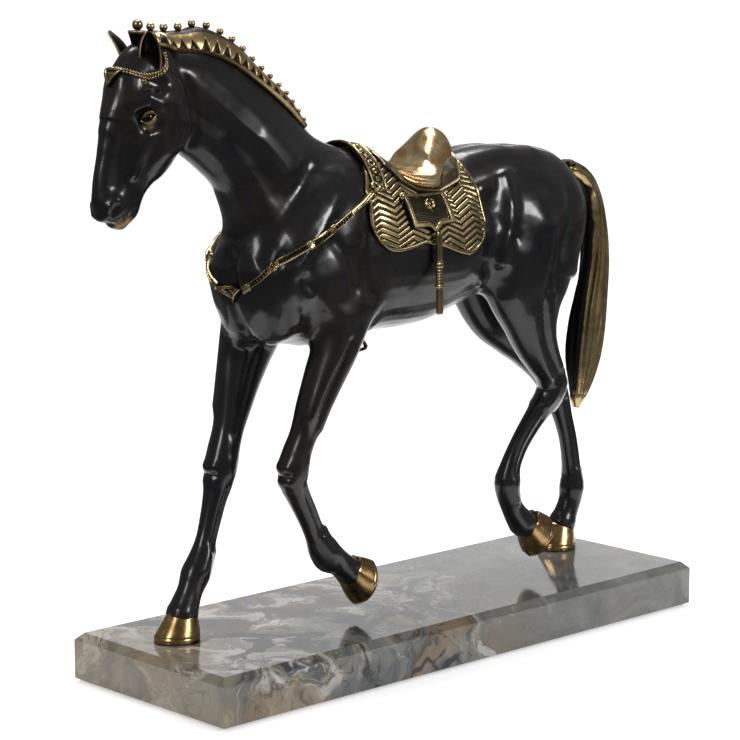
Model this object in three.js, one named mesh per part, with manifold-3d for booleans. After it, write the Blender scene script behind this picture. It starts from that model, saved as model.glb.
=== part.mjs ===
// A bronze dressage horse, saddled and walking, on a polished marble plinth.
// Millimetres, +Z up. The origin is the middle of the underside, on the felt.
// The horse looks along -X, so its left side faces -Y.
import * as THREE from "three";
import { mergeVertices } from "three/addons/utils/BufferGeometryUtils.js";
import Module from "manifold-3d";

const wasm = await Module();
wasm.setup();

// --- driving dimensions -------------------------------------------------------------
const gap = 0.3; // clearance between pieces that meet

const withersHeight = 294; // the horse, over the plinth
const drawnWithers = 294; // withers height at which the figure's stations are drawn
const figureScale = withersHeight / drawnWithers;
const wall = 4; // thickness of the hollow castings

const plinthMargin = 20; // from the front toe to the slab's end
const plinthWidth = 140;
const plinthTop = 30; // height of the slab's upper face over the table
const plinthChamfer = 4.4;
const feltThickness = 1;
const feltInset = 4; // how far the felt stops short of the slab's edge

const studDiameter = 4;
const studClearance = 0.6; // on the diameter of every stud hole
const studReach = 16; // how far a stud rises over the plinth
const nutAcross = 7; // across the flats of an M4 nut
const nutHeight = 3.2;
const washerDiameter = 12;
const washerThickness = 1;
const counterboreDiameter = 16;
const counterboreDepth = 9;

const lift = 1.1; // how far the tack stands off the skin that it follows
const padThickness = 1.6;
const panelThickness = 1.8;
const collarThickness = 1.3;
const collarWidth = 4.4;
const strapThickness = 1.6;
const strapWidth = 5;
const yokeWidth = 10;
const overPad = lift + padThickness + gap; // where the tack over the pad begins
const crestThickness = 2.2; // of the mane strip over the neck
const knobRadius = 2.3; // the first mane knob, they shrink toward the withers
const lastKnobRadius = 1.5;
const knobCount = 16;

// --- materials ----------------------------------------------------------------------
const finish = (color, roughness, metalness) =>
  new THREE.MeshStandardMaterial({ color, roughness, metalness });
const darkBronze = finish(0x1f1d20, 0.32, 1);
const goldBronze = finish(0xa98c55, 0.35, 1);
const marble = finish(0x8b8783, 0.12, 0);
const felt = finish(0x15151a, 0.95, 0);
const steel = finish(0xb4b4b8, 0.3, 1);

// --- solids -------------------------------------------------------------------------
function toSolid(geometry) {
  const bare = geometry.clone();
  bare.deleteAttribute("normal");
  bare.deleteAttribute("uv");
  const merged = mergeVertices(bare, 1e-4);
  return new wasm.Manifold(
    new wasm.Mesh({
      numProp: 3,
      vertProperties: merged.attributes.position.array,
      triVerts: new Uint32Array(merged.index.array),
    }),
  );
}

function toGeometry(solid) {
  const { vertProperties, triVerts } = solid.getMesh();
  const geometry = new THREE.BufferGeometry();
  geometry.setAttribute("position", new THREE.BufferAttribute(vertProperties, 3));
  geometry.setIndex(new THREE.BufferAttribute(triVerts, 1));
  return geometry;
}

function piece(name, shape, material) {
  const geometry = shape.isBufferGeometry ? shape : toGeometry(shape);
  const mesh = new THREE.Mesh(geometry, material);
  mesh.name = name;
  return mesh;
}

function closedSurface(points, triangles) {
  const geometry = new THREE.BufferGeometry().setFromPoints(points);
  geometry.setIndex(triangles);
  return geometry;
}

const vec = (x, y, z) => new THREE.Vector3(x, y, z);
const sides = { left: -1, right: 1 };

// A limb or a body: oval rings across one smooth line. A station is
// [x, y, z, half-width, half-depth above, half-depth below]; pinch narrows the upper half.
function loft(stations, { rings = 22, around = 16, swell = 0, pinch = 0 } = {}) {
  const line = new THREE.CatmullRomCurve3(
    stations.map(([x, y, z]) => vec(x, y, z).multiplyScalar(figureScale)),
    false,
    "centripetal",
  );
  const girth = new THREE.CatmullRomCurve3(
    stations.map(([, , , wide, up, down]) =>
      vec(wide, up, down ?? up).multiplyScalar(figureScale),
    ),
    false,
    "centripetal",
  );
  const points = [];
  const triangles = [];
  const ends = [];
  for (let i = 0; i <= rings; i++) {
    const t = i / rings;
    const along = line.getTangent(t);
    const across = vec(0, 1, 0).addScaledVector(along, -along.y).normalize();
    const above = along.clone().cross(across);
    const centre = line.getPoint(t);
    if (i === 0) centre.addScaledVector(along, -swell);
    if (i === rings) centre.addScaledVector(along, swell);
    if (i === 0 || i === rings) ends.push(centre);
    const { x: wide, y: up, z: down } = girth.getPoint(t);
    for (let j = 0; j < around; j++) {
      const turn = (2 * Math.PI * j) / around;
      const high = Math.sin(turn);
      const narrow = 1 - pinch * Math.max(0, high);
      points.push(
        centre
          .clone()
          .addScaledVector(across, (wide * narrow + swell) * Math.cos(turn))
          .addScaledVector(above, ((high > 0 ? up : down) + swell) * high),
      );
    }
  }
  for (let i = 0; i < rings; i++)
    for (let j = 0; j < around; j++) {
      const a = i * around + j;
      const b = i * around + ((j + 1) % around);
      triangles.push(a, b, a + around, b, b + around, a + around);
    }
  const first = points.push(ends[0]) - 1;
  const last = points.push(ends[1]) - 1;
  for (let j = 0; j < around; j++) {
    const next = (j + 1) % around;
    triangles.push(first, next, j);
    triangles.push(last, rings * around + j, rings * around + next);
  }
  return closedSurface(points, triangles);
}

// A slab that follows a grid of points on the skin, from one height over it to another.
function overlay(grid, from, to, inside) {
  const rows = grid.length;
  const columns = grid[0].length;
  const slope = (list, k) =>
    list[Math.min(k + 1, list.length - 1)].clone().sub(list[Math.max(k - 1, 0)]);
  const normal = (i, j) => {
    const n = slope(grid.map((row) => row[j]), i).cross(slope(grid[i], j)).normalize();
    return n.dot(grid[i][j].clone().sub(inside)) < 0 ? n.negate() : n;
  };
  const points = [];
  for (const height of [to, from])
    for (let i = 0; i < rows; i++)
      for (let j = 0; j < columns; j++)
        points.push(grid[i][j].clone().addScaledVector(normal(i, j), height));
  const at = (layer, i, j) => layer * rows * columns + i * columns + j;
  const triangles = [];
  const quad = (a, b, c, d) => triangles.push(a, b, c, a, c, d);
  for (let i = 0; i + 1 < rows; i++)
    for (let j = 0; j + 1 < columns; j++) {
      quad(at(0, i, j), at(0, i + 1, j), at(0, i + 1, j + 1), at(0, i, j + 1));
      quad(at(1, i, j), at(1, i, j + 1), at(1, i + 1, j + 1), at(1, i + 1, j));
    }
  for (let i = 0; i + 1 < rows; i++) {
    quad(at(0, i, 0), at(1, i, 0), at(1, i + 1, 0), at(0, i + 1, 0));
    const j = columns - 1;
    quad(at(0, i, j), at(0, i + 1, j), at(1, i + 1, j), at(1, i, j));
  }
  for (let j = 0; j + 1 < columns; j++) {
    quad(at(0, 0, j), at(0, 0, j + 1), at(1, 0, j + 1), at(1, 0, j));
    const i = rows - 1;
    quad(at(0, i, j), at(1, i, j), at(1, i, j + 1), at(0, i, j + 1));
  }
  const facing = grid[1][0].clone().sub(grid[0][0]).cross(grid[0][1].clone().sub(grid[0][0]));
  if (facing.dot(normal(0, 0)) < 0) triangles.reverse();
  return closedSurface(points, triangles);
}

// Tack that follows the skin is trimmed wherever a facet of it comes within the gap.
const clearOf = (geometry, names) =>
  names.reduce((solid, name) => solid.subtract(grown(name)), toSolid(geometry));

function cylinder(diameter, from, to, x, y, segments = 24) {
  const geometry = new THREE.CylinderGeometry(diameter / 2, diameter / 2, to - from, segments);
  return geometry.rotateX(Math.PI / 2).translate(x, y, (from + to) / 2);
}

// --- the horse's body, drawn over the plinth's top ------------------------------------
const torsoStations = [
  [-134, 0, 213, 19, 18, 16],
  [-130, 0, 213, 29, 29, 28],
  [-117, 0, 214, 36, 42, 37],
  [-90, 0, 220, 38, 60, 47],
  [-60, 0, 226, 41, 62, 52],
  [-44, 0, 228, 42, 59, 53],
  [-28, 0, 227, 44, 51, 51],
  [-10, 0, 226, 45, 45, 50],
  [8, 0, 226, 46, 44.5, 49],
  [27, 0, 227, 46, 48, 48],
  [54, 0, 232, 45, 44, 46],
  [85, 0, 236, 46, 45, 42],
  [112, 0, 240, 44, 42, 42],
  [136, 0, 240, 36, 36, 40],
  [150, 0, 242, 24, 26, 32],
  [157, 0, 242, 8, 9, 12],
];
const neckStations = [
  [-193, 0, 335, 8, 21],
  [-179, 0, 329, 13, 29.5],
  [-161, 0, 323, 14.5, 32],
  [-142.5, 0, 309.5, 16.5, 30.7],
  [-123, 0, 294, 21, 32.5],
  [-102, 0, 267, 27, 41],
  [-72, 0, 232, 30, 52],
];
const headStations = [
  [-226, 0, 255.5, 5, 5],
  [-225, 0, 260, 9.5, 9.5],
  [-223, 0, 268.7, 10.5, 12.7],
  [-218, 0, 279.5, 12, 16.3],
  [-208.5, 0, 293, 15.5, 23.5],
  [-201.5, 0, 316, 17.5, 26.5],
  [-199.5, 0, 342, 14, 18.5],
  [-196, 0, 352, 8, 9],
];
const crestBandStations = [
  [-197, 0, 356, 14, 5],
  [-178.5, 0, 354, 14, 7.5],
  [-156, 0, 350, 14, 8],
  [-134, 0, 341, 14, 7.5],
  [-116, 0, 329, 14, 7],
  [-100, 0, 316, 14, 6.5],
  [-88, 0, 306, 14, 5],
  [-80, 0, 297.5, 14, 3],
];
const legStations = {
  foreleg_left: [
    [-70, -24, 215, 14, 26],
    [-76, -28, 190, 14, 19],
    [-80.7, -28, 171, 13, 15.5],
    [-95, -24, 136.2, 10, 10.5],
    [-101, -22, 118.7, 8.5, 8.7],
    [-107.9, -20, 100.2, 8.8, 8.8],
    [-105.5, -20, 90, 8, 8],
    [-96.6, -19, 75.2, 6.5, 7],
    [-86, -18, 54.4, 5.8, 6.2],
    [-77.7, -17, 43.1, 8.5, 8.8],
    [-69, -17, 36.5, 7.2, 7.2],
    [-61.5, -17, 30.5, 9.6, 9.3],
    [-54, -17, 25, 6, 6],
  ],
  foreleg_right: [
    [-84, 24, 215, 14, 26],
    [-102, 27, 192, 14, 20],
    [-117, 24, 173.9, 13.5, 15.5],
    [-122, 20, 136, 10.5, 11.8],
    [-126.1, 19, 118, 9, 9.9],
    [-132.1, 18, 99.3, 9.6, 10.2],
    [-134.7, 18, 88.6, 8.5, 8.8],
    [-140.2, 17, 74.6, 6.6, 7],
    [-147, 16, 56.3, 5.6, 5.9],
    [-154.5, 15, 38.3, 8.6, 9.2],
    [-161, 14, 27, 7.4, 7.6],
    [-165.5, 13.8, 18, 9.8, 9.8],
    [-169, 13.6, 8, 6, 6],
  ],
  hindleg_left: [
    [114, -20, 246, 14, 28],
    [100, -26, 226, 19, 38],
    [81.7, -29, 205, 17, 42],
    [83, -29, 184, 15, 25.4],
    [92.6, -26, 162, 11, 18],
    [113, -22, 136, 8.5, 11.5],
    [119, -21, 126.5, 8.5, 12],
    [112, -20, 113, 7.5, 8.5],
    [93.4, -18, 91.8, 5.8, 6.1],
    [83, -18, 76, 6, 6.3],
    [81.5, -17, 64, 8.2, 8.6],
    [84, -17, 52, 6.8, 6.8],
    [91, -17, 40.5, 7.8, 8],
    [98, -17, 32.5, 9.6, 9.5],
    [105, -17, 28.5, 6, 6],
  ],
  hindleg_right: [
    [114, 20, 246, 14, 28],
    [108, 26, 226, 19, 37],
    [101, 28, 204, 17, 35],
    [104, 28, 183, 15, 25],
    [115, 26, 163, 12, 18],
    [138, 24, 143, 9.5, 12.5],
    [160, 22, 124, 9, 12],
    [170, 21, 104, 7.6, 8.5],
    [175, 20, 91, 5.8, 6.2],
    [178.5, 19, 79.3, 5.3, 5.5],
    [180.6, 18, 66.7, 5.3, 5.4],
    [182.3, 18, 53.8, 5.8, 6],
    [183, 18, 37, 8.2, 8.5],
    [179.5, 18, 26, 7, 7.2],
    [174.5, 18.5, 18, 9.6, 9.6],
    [170.5, 19, 8, 6, 6],
  ],
};
const tailStations = [
  [146, 0, 262, 5, 5],
  [162, 0, 261, 6.5, 6],
  [176, 0, 251, 7, 7],
  [184.5, 0, 222, 7.5, 8.5],
  [182, 0, 175, 8, 12.5],
  [177, 0, 138, 8, 14],
  [171, 0, 118, 7, 9],
  [167, 0, 104, 3, 3],
];
// Where the middle of each sole is, and how far the hoof is tipped onto its toe.
const hoofPlaces = {
  hoof_front_left: { leg: "foreleg_left", sole: [-47.5, -17, 20.5], tip: 68 },
  hoof_front_right: { leg: "foreleg_right", sole: [-170.5, 13.5, 0], tip: 0 },
  hoof_hind_left: { leg: "hindleg_left", sole: [111.5, -17, 24], tip: 61 },
  hoof_hind_right: { leg: "hindleg_right", sole: [169, 19, 0], tip: 0 },
};
const soleHalfLength = 14.5;
const soleHalfWidth = 13;

const bodyShapes = {
  torso: [torsoStations, { rings: 28, around: 24 }],
  neck: [neckStations, { rings: 14, around: 20, pinch: 0.35 }],
  head: [headStations, { rings: 14, around: 16, pinch: 0.2 }],
};
for (const [name, stations] of Object.entries(legStations))
  bodyShapes[name] = [stations, { rings: 26, around: 12 }];

const skin = (name, swell = 0) => {
  const [stations, options] = bodyShapes[name];
  return loft(stations, { ...options, swell });
};
const grown = (name) => toSolid(skin(name, gap));
const legNames = Object.keys(legStations);

// The core that a hollow casting is poured round.
const core = (name) => {
  const [stations, options] = bodyShapes[name];
  return toSolid(loft(stations, { ...options, rings: 12, around: 10, swell: -wall }));
};

function torso() {
  let shell = toSolid(skin("torso")).subtract(core("torso"));
  for (const name of legNames) shell = shell.subtract(grown(name));
  return shell.subtract(toSolid(loft(tailStations, { swell: gap })));
}

function neck() {
  const shell = toSolid(skin("neck")).subtract(core("neck"));
  return shell.subtract(grown("torso")).subtract(grown("foreleg_left"))
    .subtract(grown("foreleg_right"));
}

function head() {
  let shell = toSolid(skin("head")).subtract(core("head")).subtract(grown("neck"));
  for (const side of Object.values(sides))
    shell = shell.subtract(toSolid(eyeball(side, gap))).subtract(toSolid(ear(side, gap)));
  return shell;
}

function ear(side, swell = 0) {
  const stations = [
    [-203.5, side * 9.5, 338, 3.5, 4],
    [-205, side * 11.5, 343, 4, 4.6],
    [-207, side * 14.5, 350.5, 3.8, 4.6],
    [-209.5, side * 17.5, 356.5, 2.4, 2.9],
    [-212, side * 20, 361.5, 0.8, 0.8],
  ];
  return loft(stations, { rings: 10, around: 10, swell });
}

function eyeball(side, swell = 0) {
  const radius = 3.6 * figureScale + swell;
  const eye = new THREE.SphereGeometry(radius, 10, 8).rotateX(Math.PI / 2);
  return eye.translate(-209.5 * figureScale, side * 15 * figureScale, 313.5 * figureScale);
}

function forelock() {
  const stations = [
    [-211.5, 0, 342, 1.5, 1.2],
    [-208.5, 0, 350, 4, 3],
    [-204.5, 0, 357, 8, 4.5],
    [-205, 0, 360, 3.5, 2.6],
    [-205.5, 0, 363.5, 2, 2],
  ];
  const ball = new THREE.SphereGeometry(3.1 * figureScale, 10, 8);
  ball.translate(-205.5 * figureScale, 0, 364.5 * figureScale);
  return toSolid(loft(stations, { rings: 10, around: 12 })).add(toSolid(ball))
    .subtract(grown("head")).subtract(grown("neck"));
}

function leg(name) {
  return toSolid(skin(name));
}

// A hoof is a short cone, longer at the toe, with the leg's end let into its top.
const hoofHeight = 14.5;
const coronetHalf = 10.3;
const coronetBack = 3.4; // how far the coronet's middle lies behind the sole's
const heelDrop = 3.2; // the coronet is lower at the heel
function hoof({ leg: legName, sole, tip }) {
  const rows = [
    { z: 0, forward: 0, long: soleHalfLength, wide: soleHalfWidth },
    { z: 1.2, forward: 0, long: soleHalfLength + 0.4, wide: soleHalfWidth + 0.3 },
    { z: 8, forward: -1.6, long: 12.6, wide: 11.8 },
    { z: hoofHeight, forward: -coronetBack, long: coronetHalf + 0.4, wide: coronetHalf },
  ];
  const around = 20;
  const points = [];
  const triangles = [];
  for (const { z, forward, long, wide } of rows)
    for (let j = 0; j < around; j++) {
      const turn = (2 * Math.PI * j) / around;
      const back = Math.cos(turn);
      const heelWide = back > 0 ? 1 - 0.16 * back : 1;
      const drop = (z / hoofHeight) * heelDrop * back;
      points.push(vec(back * long - forward, Math.sin(turn) * wide * heelWide, z - drop));
    }
  for (let i = 0; i + 1 < rows.length; i++)
    for (let j = 0; j < around; j++) {
      const a = i * around + j;
      const b = i * around + ((j + 1) % around);
      triangles.push(a, b, a + around, b, b + around, a + around);
    }
  const bottom = points.push(vec(0, 0, 0)) - 1;
  const top = points.push(vec(coronetBack, 0, hoofHeight)) - 1;
  const topRow = (rows.length - 1) * around;
  for (let j = 0; j < around; j++) {
    const next = (j + 1) % around;
    triangles.push(bottom, next, j, top, topRow + j, topRow + next);
  }
  const shape = closedSurface(points, triangles);
  shape.rotateY(-THREE.MathUtils.degToRad(tip));
  shape.translate(...sole).scale(figureScale, figureScale, figureScale);
  return toSolid(shape).subtract(grown(legName));
}

function tail() {
  return toSolid(loft(tailStations, { rings: 22, around: 16 }));
}

// --- tack, laid on the finished skin --------------------------------------------------
const skinMeshes = Object.keys(bodyShapes).map((name) => new THREE.Mesh(skin(name)));
const probe = new THREE.Raycaster();

// The point of the horse's skin between a target and the middle of its body.
function onSkin(target, middle) {
  const from = middle.clone().add(target.clone().sub(middle).multiplyScalar(4));
  probe.set(from, middle.clone().sub(from).normalize());
  return probe.intersectObjects(skinMeshes)[0].point;
}

// The plaited mane: a strip wrapped over the neck's crest, with a row of knobs on top.
function maneCrest() {
  const band = toSolid(loft(crestBandStations, { rings: 16, around: 8 }));
  const raised = ["neck", "head"].map((name) => toSolid(skin(name, crestThickness)));
  let strip = raised[0].add(raised[1]).intersect(band);
  const line = new THREE.CatmullRomCurve3(
    crestBandStations.map(([x, , z]) => vec(x, 0, z).multiplyScalar(figureScale)),
  );
  for (let k = 0; k < knobCount; k++) {
    const share = k / (knobCount - 1);
    const place = 0.02 + 0.94 * share;
    const out = line.getTangentAt(place).cross(vec(0, 1, 0)).normalize();
    const inner = line.getPointAt(place).addScaledVector(out, -5 * figureScale);
    const foot = onSkin(inner.clone().addScaledVector(out, 10 * figureScale), inner);
    const radius = THREE.MathUtils.lerp(knobRadius, lastKnobRadius, share);
    const reach = crestThickness + radius * 0.8;
    const knob = new THREE.SphereGeometry(radius, 6, 5);
    knob.translate(...foot.clone().addScaledVector(out, reach));
    const stem = new THREE.CylinderGeometry(radius * 0.6, radius * 0.6, reach, 6);
    stem.applyQuaternion(new THREE.Quaternion().setFromUnitVectors(vec(0, 1, 0), out));
    stem.translate(...foot.clone().addScaledVector(out, reach / 2));
    strip = strip.add(toSolid(knob)).add(toSolid(stem));
  }
  return strip.subtract(grown("neck")).subtract(grown("torso")).subtract(grown("head"));
}

const bodyMiddle = vec(-85, 0, 226).multiplyScalar(figureScale);

// A strap through points beside the skin, as a grid of two edges and its middle. It may
// rise off the skin by an amount that depends on the share of its length.
function strapGrid(stations, width, steps, middle, rise = () => 0) {
  const route = new THREE.CatmullRomCurve3(
    stations.map(([x, y, z]) => vec(x, y, z).multiplyScalar(figureScale)),
    false,
    "centripetal",
  );
  const grid = [];
  for (let i = 0; i <= steps; i++) {
    const at = onSkin(route.getPointAt(i / steps), middle);
    const out = at.clone().sub(middle).normalize();
    const edge = route.getTangentAt(i / steps).cross(out).setLength(width / 2);
    const up = out.multiplyScalar(rise(i / steps));
    grid.push([1, 0, -1].map((k) => onSkin(at.clone().addScaledVector(edge, k), middle).add(up)));
  }
  return grid;
}

function collar(side) {
  const stations = [
    [-55.5, side * 36, 263.5],
    [-76, side * 41, 254],
    [-90.5, side * 41, 246.5],
    [-107.5, side * 38, 237],
    [-126, side * 29, 224],
    [-136, side * 12.5, 211],
  ];
  // Its rear end lies over the pad's front edge.
  const overEdge = (share) => (overPad - lift + gap) * THREE.MathUtils.clamp(2.2 - share * 12, 0, 1);
  const grid = strapGrid(stations, collarWidth, 34, bodyMiddle, overEdge);
  const band = overlay(grid, lift, lift + collarThickness, bodyMiddle);
  return clearOf(band, ["torso", "neck", "foreleg_left", "foreleg_right"]);
}

// The ring that ties each collar strap to the foot of the yoke.
const ringTube = 1;
function collarRing(side) {
  const at = onSkin(vec(-53.5, side * 36, 265).multiplyScalar(figureScale), bodyMiddle);
  const out = vec(0, at.y, at.z - bodyMiddle.z).normalize();
  const ring = new THREE.TorusGeometry(2.6, ringTube, 6, 12);
  ring.applyQuaternion(new THREE.Quaternion().setFromUnitVectors(vec(0, 0, 1), out));
  const centre = at.addScaledVector(out, overPad + collarThickness + ringTube + 4 * gap);
  return ring.translate(...centre);
}

function collarPlaque() {
  const rows = [[0, 11.5], [1.5, 11], [5, 7.5], [9, 3.5], [12.5, 0.6]];
  const top = 213.5;
  const grid = rows.map(([drop, half]) =>
    [-1, -0.5, 0, 0.5, 1].map((k) =>
      onSkin(vec(-137, k * half, top - drop).multiplyScalar(figureScale), bodyMiddle),
    ),
  );
  const from = lift + collarThickness + gap;
  return overlay(grid, from, from + collarThickness, bodyMiddle);
}

// The skin at station x, at an angle from straight up (positive toward the right side).
function aroundBarrel(x, angle) {
  const middle = vec(x, 0, 226).multiplyScalar(figureScale);
  const reach = 60 * figureScale;
  const target = vec(0, Math.sin(angle), Math.cos(angle)).multiplyScalar(reach).add(middle);
  return onSkin(target, middle);
}

const padFront = { top: -42, side: -61 };
const padRear = { top: 33, side: 31 };
const padReach = THREE.MathUtils.degToRad(90); // how far down each side the pad comes

function padGrid() {
  const grid = [];
  const across = 28;
  const along = 14;
  for (let i = 0; i <= along; i++) {
    const u = i / along;
    const corner = 1 - 0.3 * Math.abs(2 * u - 1) ** 7;
    const row = [];
    for (let j = 0; j <= across; j++) {
      const v = (2 * j) / across - 1;
      const low = Math.min(1, Math.abs(v) * 1.6);
      const front = THREE.MathUtils.lerp(padFront.top, padFront.side, low);
      const rear = THREE.MathUtils.lerp(padRear.top, padRear.side, low);
      row.push(aroundBarrel(THREE.MathUtils.lerp(front, rear, u), v * padReach * corner));
    }
    grid.push(row);
  }
  return grid;
}

function saddlePad() {
  const felted = overlay(padGrid(), lift, lift + padThickness, vec(0, 0, 226 * figureScale));
  return clearOf(felted, ["torso", "neck"]);
}

// A beaded band over the withers, in front of the seat.
function yoke() {
  const grid = [];
  const reach = THREE.MathUtils.degToRad(41);
  const steps = 16;
  for (let i = 0; i <= steps; i++) {
    const angle = reach * ((2 * i) / steps - 1);
    const middle = -46.5 - 4 * Math.abs(angle / reach);
    grid.push([-1, 0, 1].map((k) => aroundBarrel(middle + (k * yokeWidth) / 2, angle)));
  }
  const from = overPad;
  return overlay(grid, from, from + collarThickness, vec(0, 0, 226 * figureScale));
}

// A flap hanging over the pad on each side, with a small point at its lower edge.
const panelTop = 262;
const panelHeight = 21;
const panelPoint = 3.5;
function panel(side) {
  const grid = [];
  const rows = 4;
  const columns = 8;
  for (let i = 0; i <= rows; i++) {
    const v = i / rows;
    const row = [];
    for (let j = 0; j <= columns; j++) {
      const u = (2 * j) / columns - 1;
      const drop = v * (panelHeight + panelPoint * Math.max(0, 1 - 2.2 * Math.abs(u)));
      const x = -18.5 + u * (18 - 1.5 * v) + 2 * v;
      const middle = vec(x, 0, 226).multiplyScalar(figureScale);
      const z = (panelTop - drop) * figureScale;
      row.push(onSkin(vec(middle.x, side * 46 * figureScale, z), middle));
    }
    grid.push(row);
  }
  return overlay(grid, overPad, overPad + panelThickness, vec(-18, 0, 226 * figureScale));
}

// The ring at the middle of each flap. It leans with the horse's side.
const panelRingLean = 0.22;
const panelRingRise = 0.35; // how much the ring climbs for each millimetre it stands off
function panelRing(side) {
  const target = vec(-15, side * 46, 254).multiplyScalar(figureScale);
  const at = onSkin(target, bodyMiddle.clone().setX(target.x));
  const ring = new THREE.TorusGeometry(3, ringTube, 6, 12).rotateX(Math.PI / 2);
  ring.rotateX(side * panelRingLean);
  const stand = overPad + panelThickness + 2 * gap + ringTube + panelRingRise;
  return ring.translate(at.x, at.y + side * stand, at.z + stand * panelRingRise);
}

// A stirrup strap: it hangs from under the panel's point, clear of the belly.
function strap(points) {
  const shape = new THREE.Shape();
  shape.moveTo(-strapWidth / 2, -strapThickness / 2).lineTo(strapWidth / 2, -strapThickness / 2);
  shape.lineTo(strapWidth / 2, strapThickness / 2).lineTo(-strapWidth / 2, strapThickness / 2);
  shape.closePath();
  const [top, end] = points;
  const length = top.distanceTo(end);
  const bar = new THREE.ExtrudeGeometry(shape, { depth: length, bevelEnabled: false, steps: 6 });
  bar.applyQuaternion(
    new THREE.Quaternion().setFromUnitVectors(vec(0, 0, 1), end.clone().sub(top).normalize()),
  );
  return bar.translate(...top);
}

// A strap hangs from just under the panel, clear of the pad where the barrel is widest.
const strapRoom = 3.3;
const strapTop = vec(-15.5, 0, 236.5).multiplyScalar(figureScale);
function strapEnds(side, foot, inward) {
  const beside = strapTop.clone().setY(side * 46 * figureScale);
  const skinAt = onSkin(beside, vec(strapTop.x, 0, strapTop.z)).y;
  const out = skinAt + side * (overPad + strapRoom + strapThickness / 2);
  const end = vec(...foot).multiplyScalar(figureScale);
  return [strapTop.clone().setY(out), end.setY(out - side * inward * figureScale)];
}
const leftStrapEnds = strapEnds(sides.left, [-14.5, 0, 187.5], 0);
const rightStrapEnds = strapEnds(sides.right, [8, 0, 164], 3);

// The right stirrup: a small three-cornered iron at the end of its strap.
function stirrup() {
  const bar = new THREE.Vector2(0, 0);
  const shape = new THREE.Shape([bar, new THREE.Vector2(7, -13), new THREE.Vector2(-7, -13)]);
  const hole = [[0, -4.6], [-3.8, -11.4], [3.8, -11.4]].map(([x, y]) => new THREE.Vector2(x, y));
  shape.holes.push(new THREE.Path(hole));
  const iron = new THREE.ExtrudeGeometry(shape, { depth: 3, bevelEnabled: false });
  iron.translate(0, -gap, -1.5).rotateX(Math.PI / 2).rotateY(-0.28);
  return iron.translate(...rightStrapEnds[1]);
}

// The browband: a beaded chain from ear to ear across the forehead.
const browbandWidth = 2.6;
const browbandThickness = 1.8;
const headMiddle = vec(-201, 0, 325).multiplyScalar(figureScale);
function browband() {
  const half = [
    [-194, 10, 347],
    [-195.5, 15, 342.5],
    [-201, 16.5, 338],
    [-212, 14, 338],
    [-218, 7, 338.4],
    [-219.5, 0, 338.6],
  ];
  const other = half.slice(0, -1).reverse().map(([x, y, z]) => [x, -y, z]);
  const grid = strapGrid(half.concat(other), browbandWidth, 40, headMiddle);
  return clearOf(overlay(grid, lift, lift + browbandThickness, headMiddle), ["head", "neck"]);
}

function browPlaque() {
  const rows = [[0, 7.5], [3, 5.2], [6, 2.8], [8.8, 0.5]];
  const top = 340;
  const grid = rows.map(([drop, half]) =>
    [-1, -0.5, 0, 0.5, 1].map((k) =>
      onSkin(vec(-221, k * half, top - drop).multiplyScalar(figureScale), headMiddle),
    ),
  );
  const from = lift + browbandThickness + 2 * gap;
  return overlay(grid, from, from + collarThickness, headMiddle);
}

// The seat: a low dished saddle that rises behind into a tall rounded cantle.
const seatRoom = 0.35; // between the seat and the facets of the pad under it
function seat() {
  const stations = [
    [-41, 0, 284, 6, 8.5, 6],
    [-37, 0, 281, 15, 9, 8],
    [-28, 0, 274, 23, 9, 9],
    [-17, 0, 268, 28, 9.5, 9],
    [-4, 0, 266, 30, 10.5, 9],
    [8, 0, 267, 29, 14, 9],
    [17, 0, 270, 25, 21, 9],
    [26, 0, 272, 20, 25, 9],
    [34, 0, 271, 17, 18, 8],
    [39, 0, 270, 11, 8, 6],
  ];
  const seatBody = toSolid(loft(stations, { rings: 22, around: 20 }));
  const under = (name) => toSolid(skin(name, overPad + seatRoom));
  return seatBody.subtract(under("torso")).subtract(under("neck"));
}

// --- plinth and fixings ----------------------------------------------------------------
const frontToe = 185 * figureScale;
const plinthLength = 2 * (frontToe + plinthMargin);
const boreFeet = ["hoof_front_right", "hoof_hind_right"].map((name) => hoofPlaces[name].sole);
const studSpots = {
  fore: [boreFeet[0][0] * figureScale, boreFeet[0][1] * figureScale],
  hind: [boreFeet[1][0] * figureScale, boreFeet[1][1] * figureScale],
};

function plinth() {
  const bottom = feltThickness + gap;
  const inset = plinthChamfer;
  const levels = [
    [bottom, 0.6],
    [bottom + 0.6, 0],
    [plinthTop - plinthChamfer, 0],
    [plinthTop, inset],
  ];
  const corners = [[1, 1], [-1, 1], [-1, -1], [1, -1]];
  const points = levels.flatMap(([z, cut]) =>
    corners.map(([x, y]) => vec(x * (plinthLength / 2 - cut), y * (plinthWidth / 2 - cut), z)),
  );
  const triangles = [];
  for (let i = 0; i + 1 < levels.length; i++)
    for (let j = 0; j < 4; j++) {
      const a = 4 * i + j;
      const b = 4 * i + ((j + 1) % 4);
      triangles.push(a, b, a + 4, b, b + 4, a + 4);
    }
  const top = 4 * (levels.length - 1);
  triangles.push(0, 2, 1, 0, 3, 2, top, top + 1, top + 2, top, top + 2, top + 3);
  let slab = toSolid(closedSurface(points, triangles));
  const hole = studDiameter + studClearance;
  for (const [x, y] of Object.values(studSpots)) {
    slab = slab.subtract(toSolid(cylinder(hole, 0, plinthTop + 1, x, y)));
    const recess = cylinder(counterboreDiameter, 0, bottom + counterboreDepth, x, y);
    slab = slab.subtract(toSolid(recess));
  }
  return slab;
}

function baseFelt() {
  const length = plinthLength - 2 * feltInset;
  const width = plinthWidth - 2 * feltInset;
  const sheet = new THREE.BoxGeometry(length, width, feltThickness);
  return sheet.translate(0, 0, feltThickness / 2);
}

const recessTop = feltThickness + gap + counterboreDepth;
const washerTop = recessTop - gap;
const nutTop = washerTop - washerThickness - gap;

const stud = ([x, y]) => cylinder(studDiameter, nutTop - nutHeight - 1, plinthTop + studReach, x, y);

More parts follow.
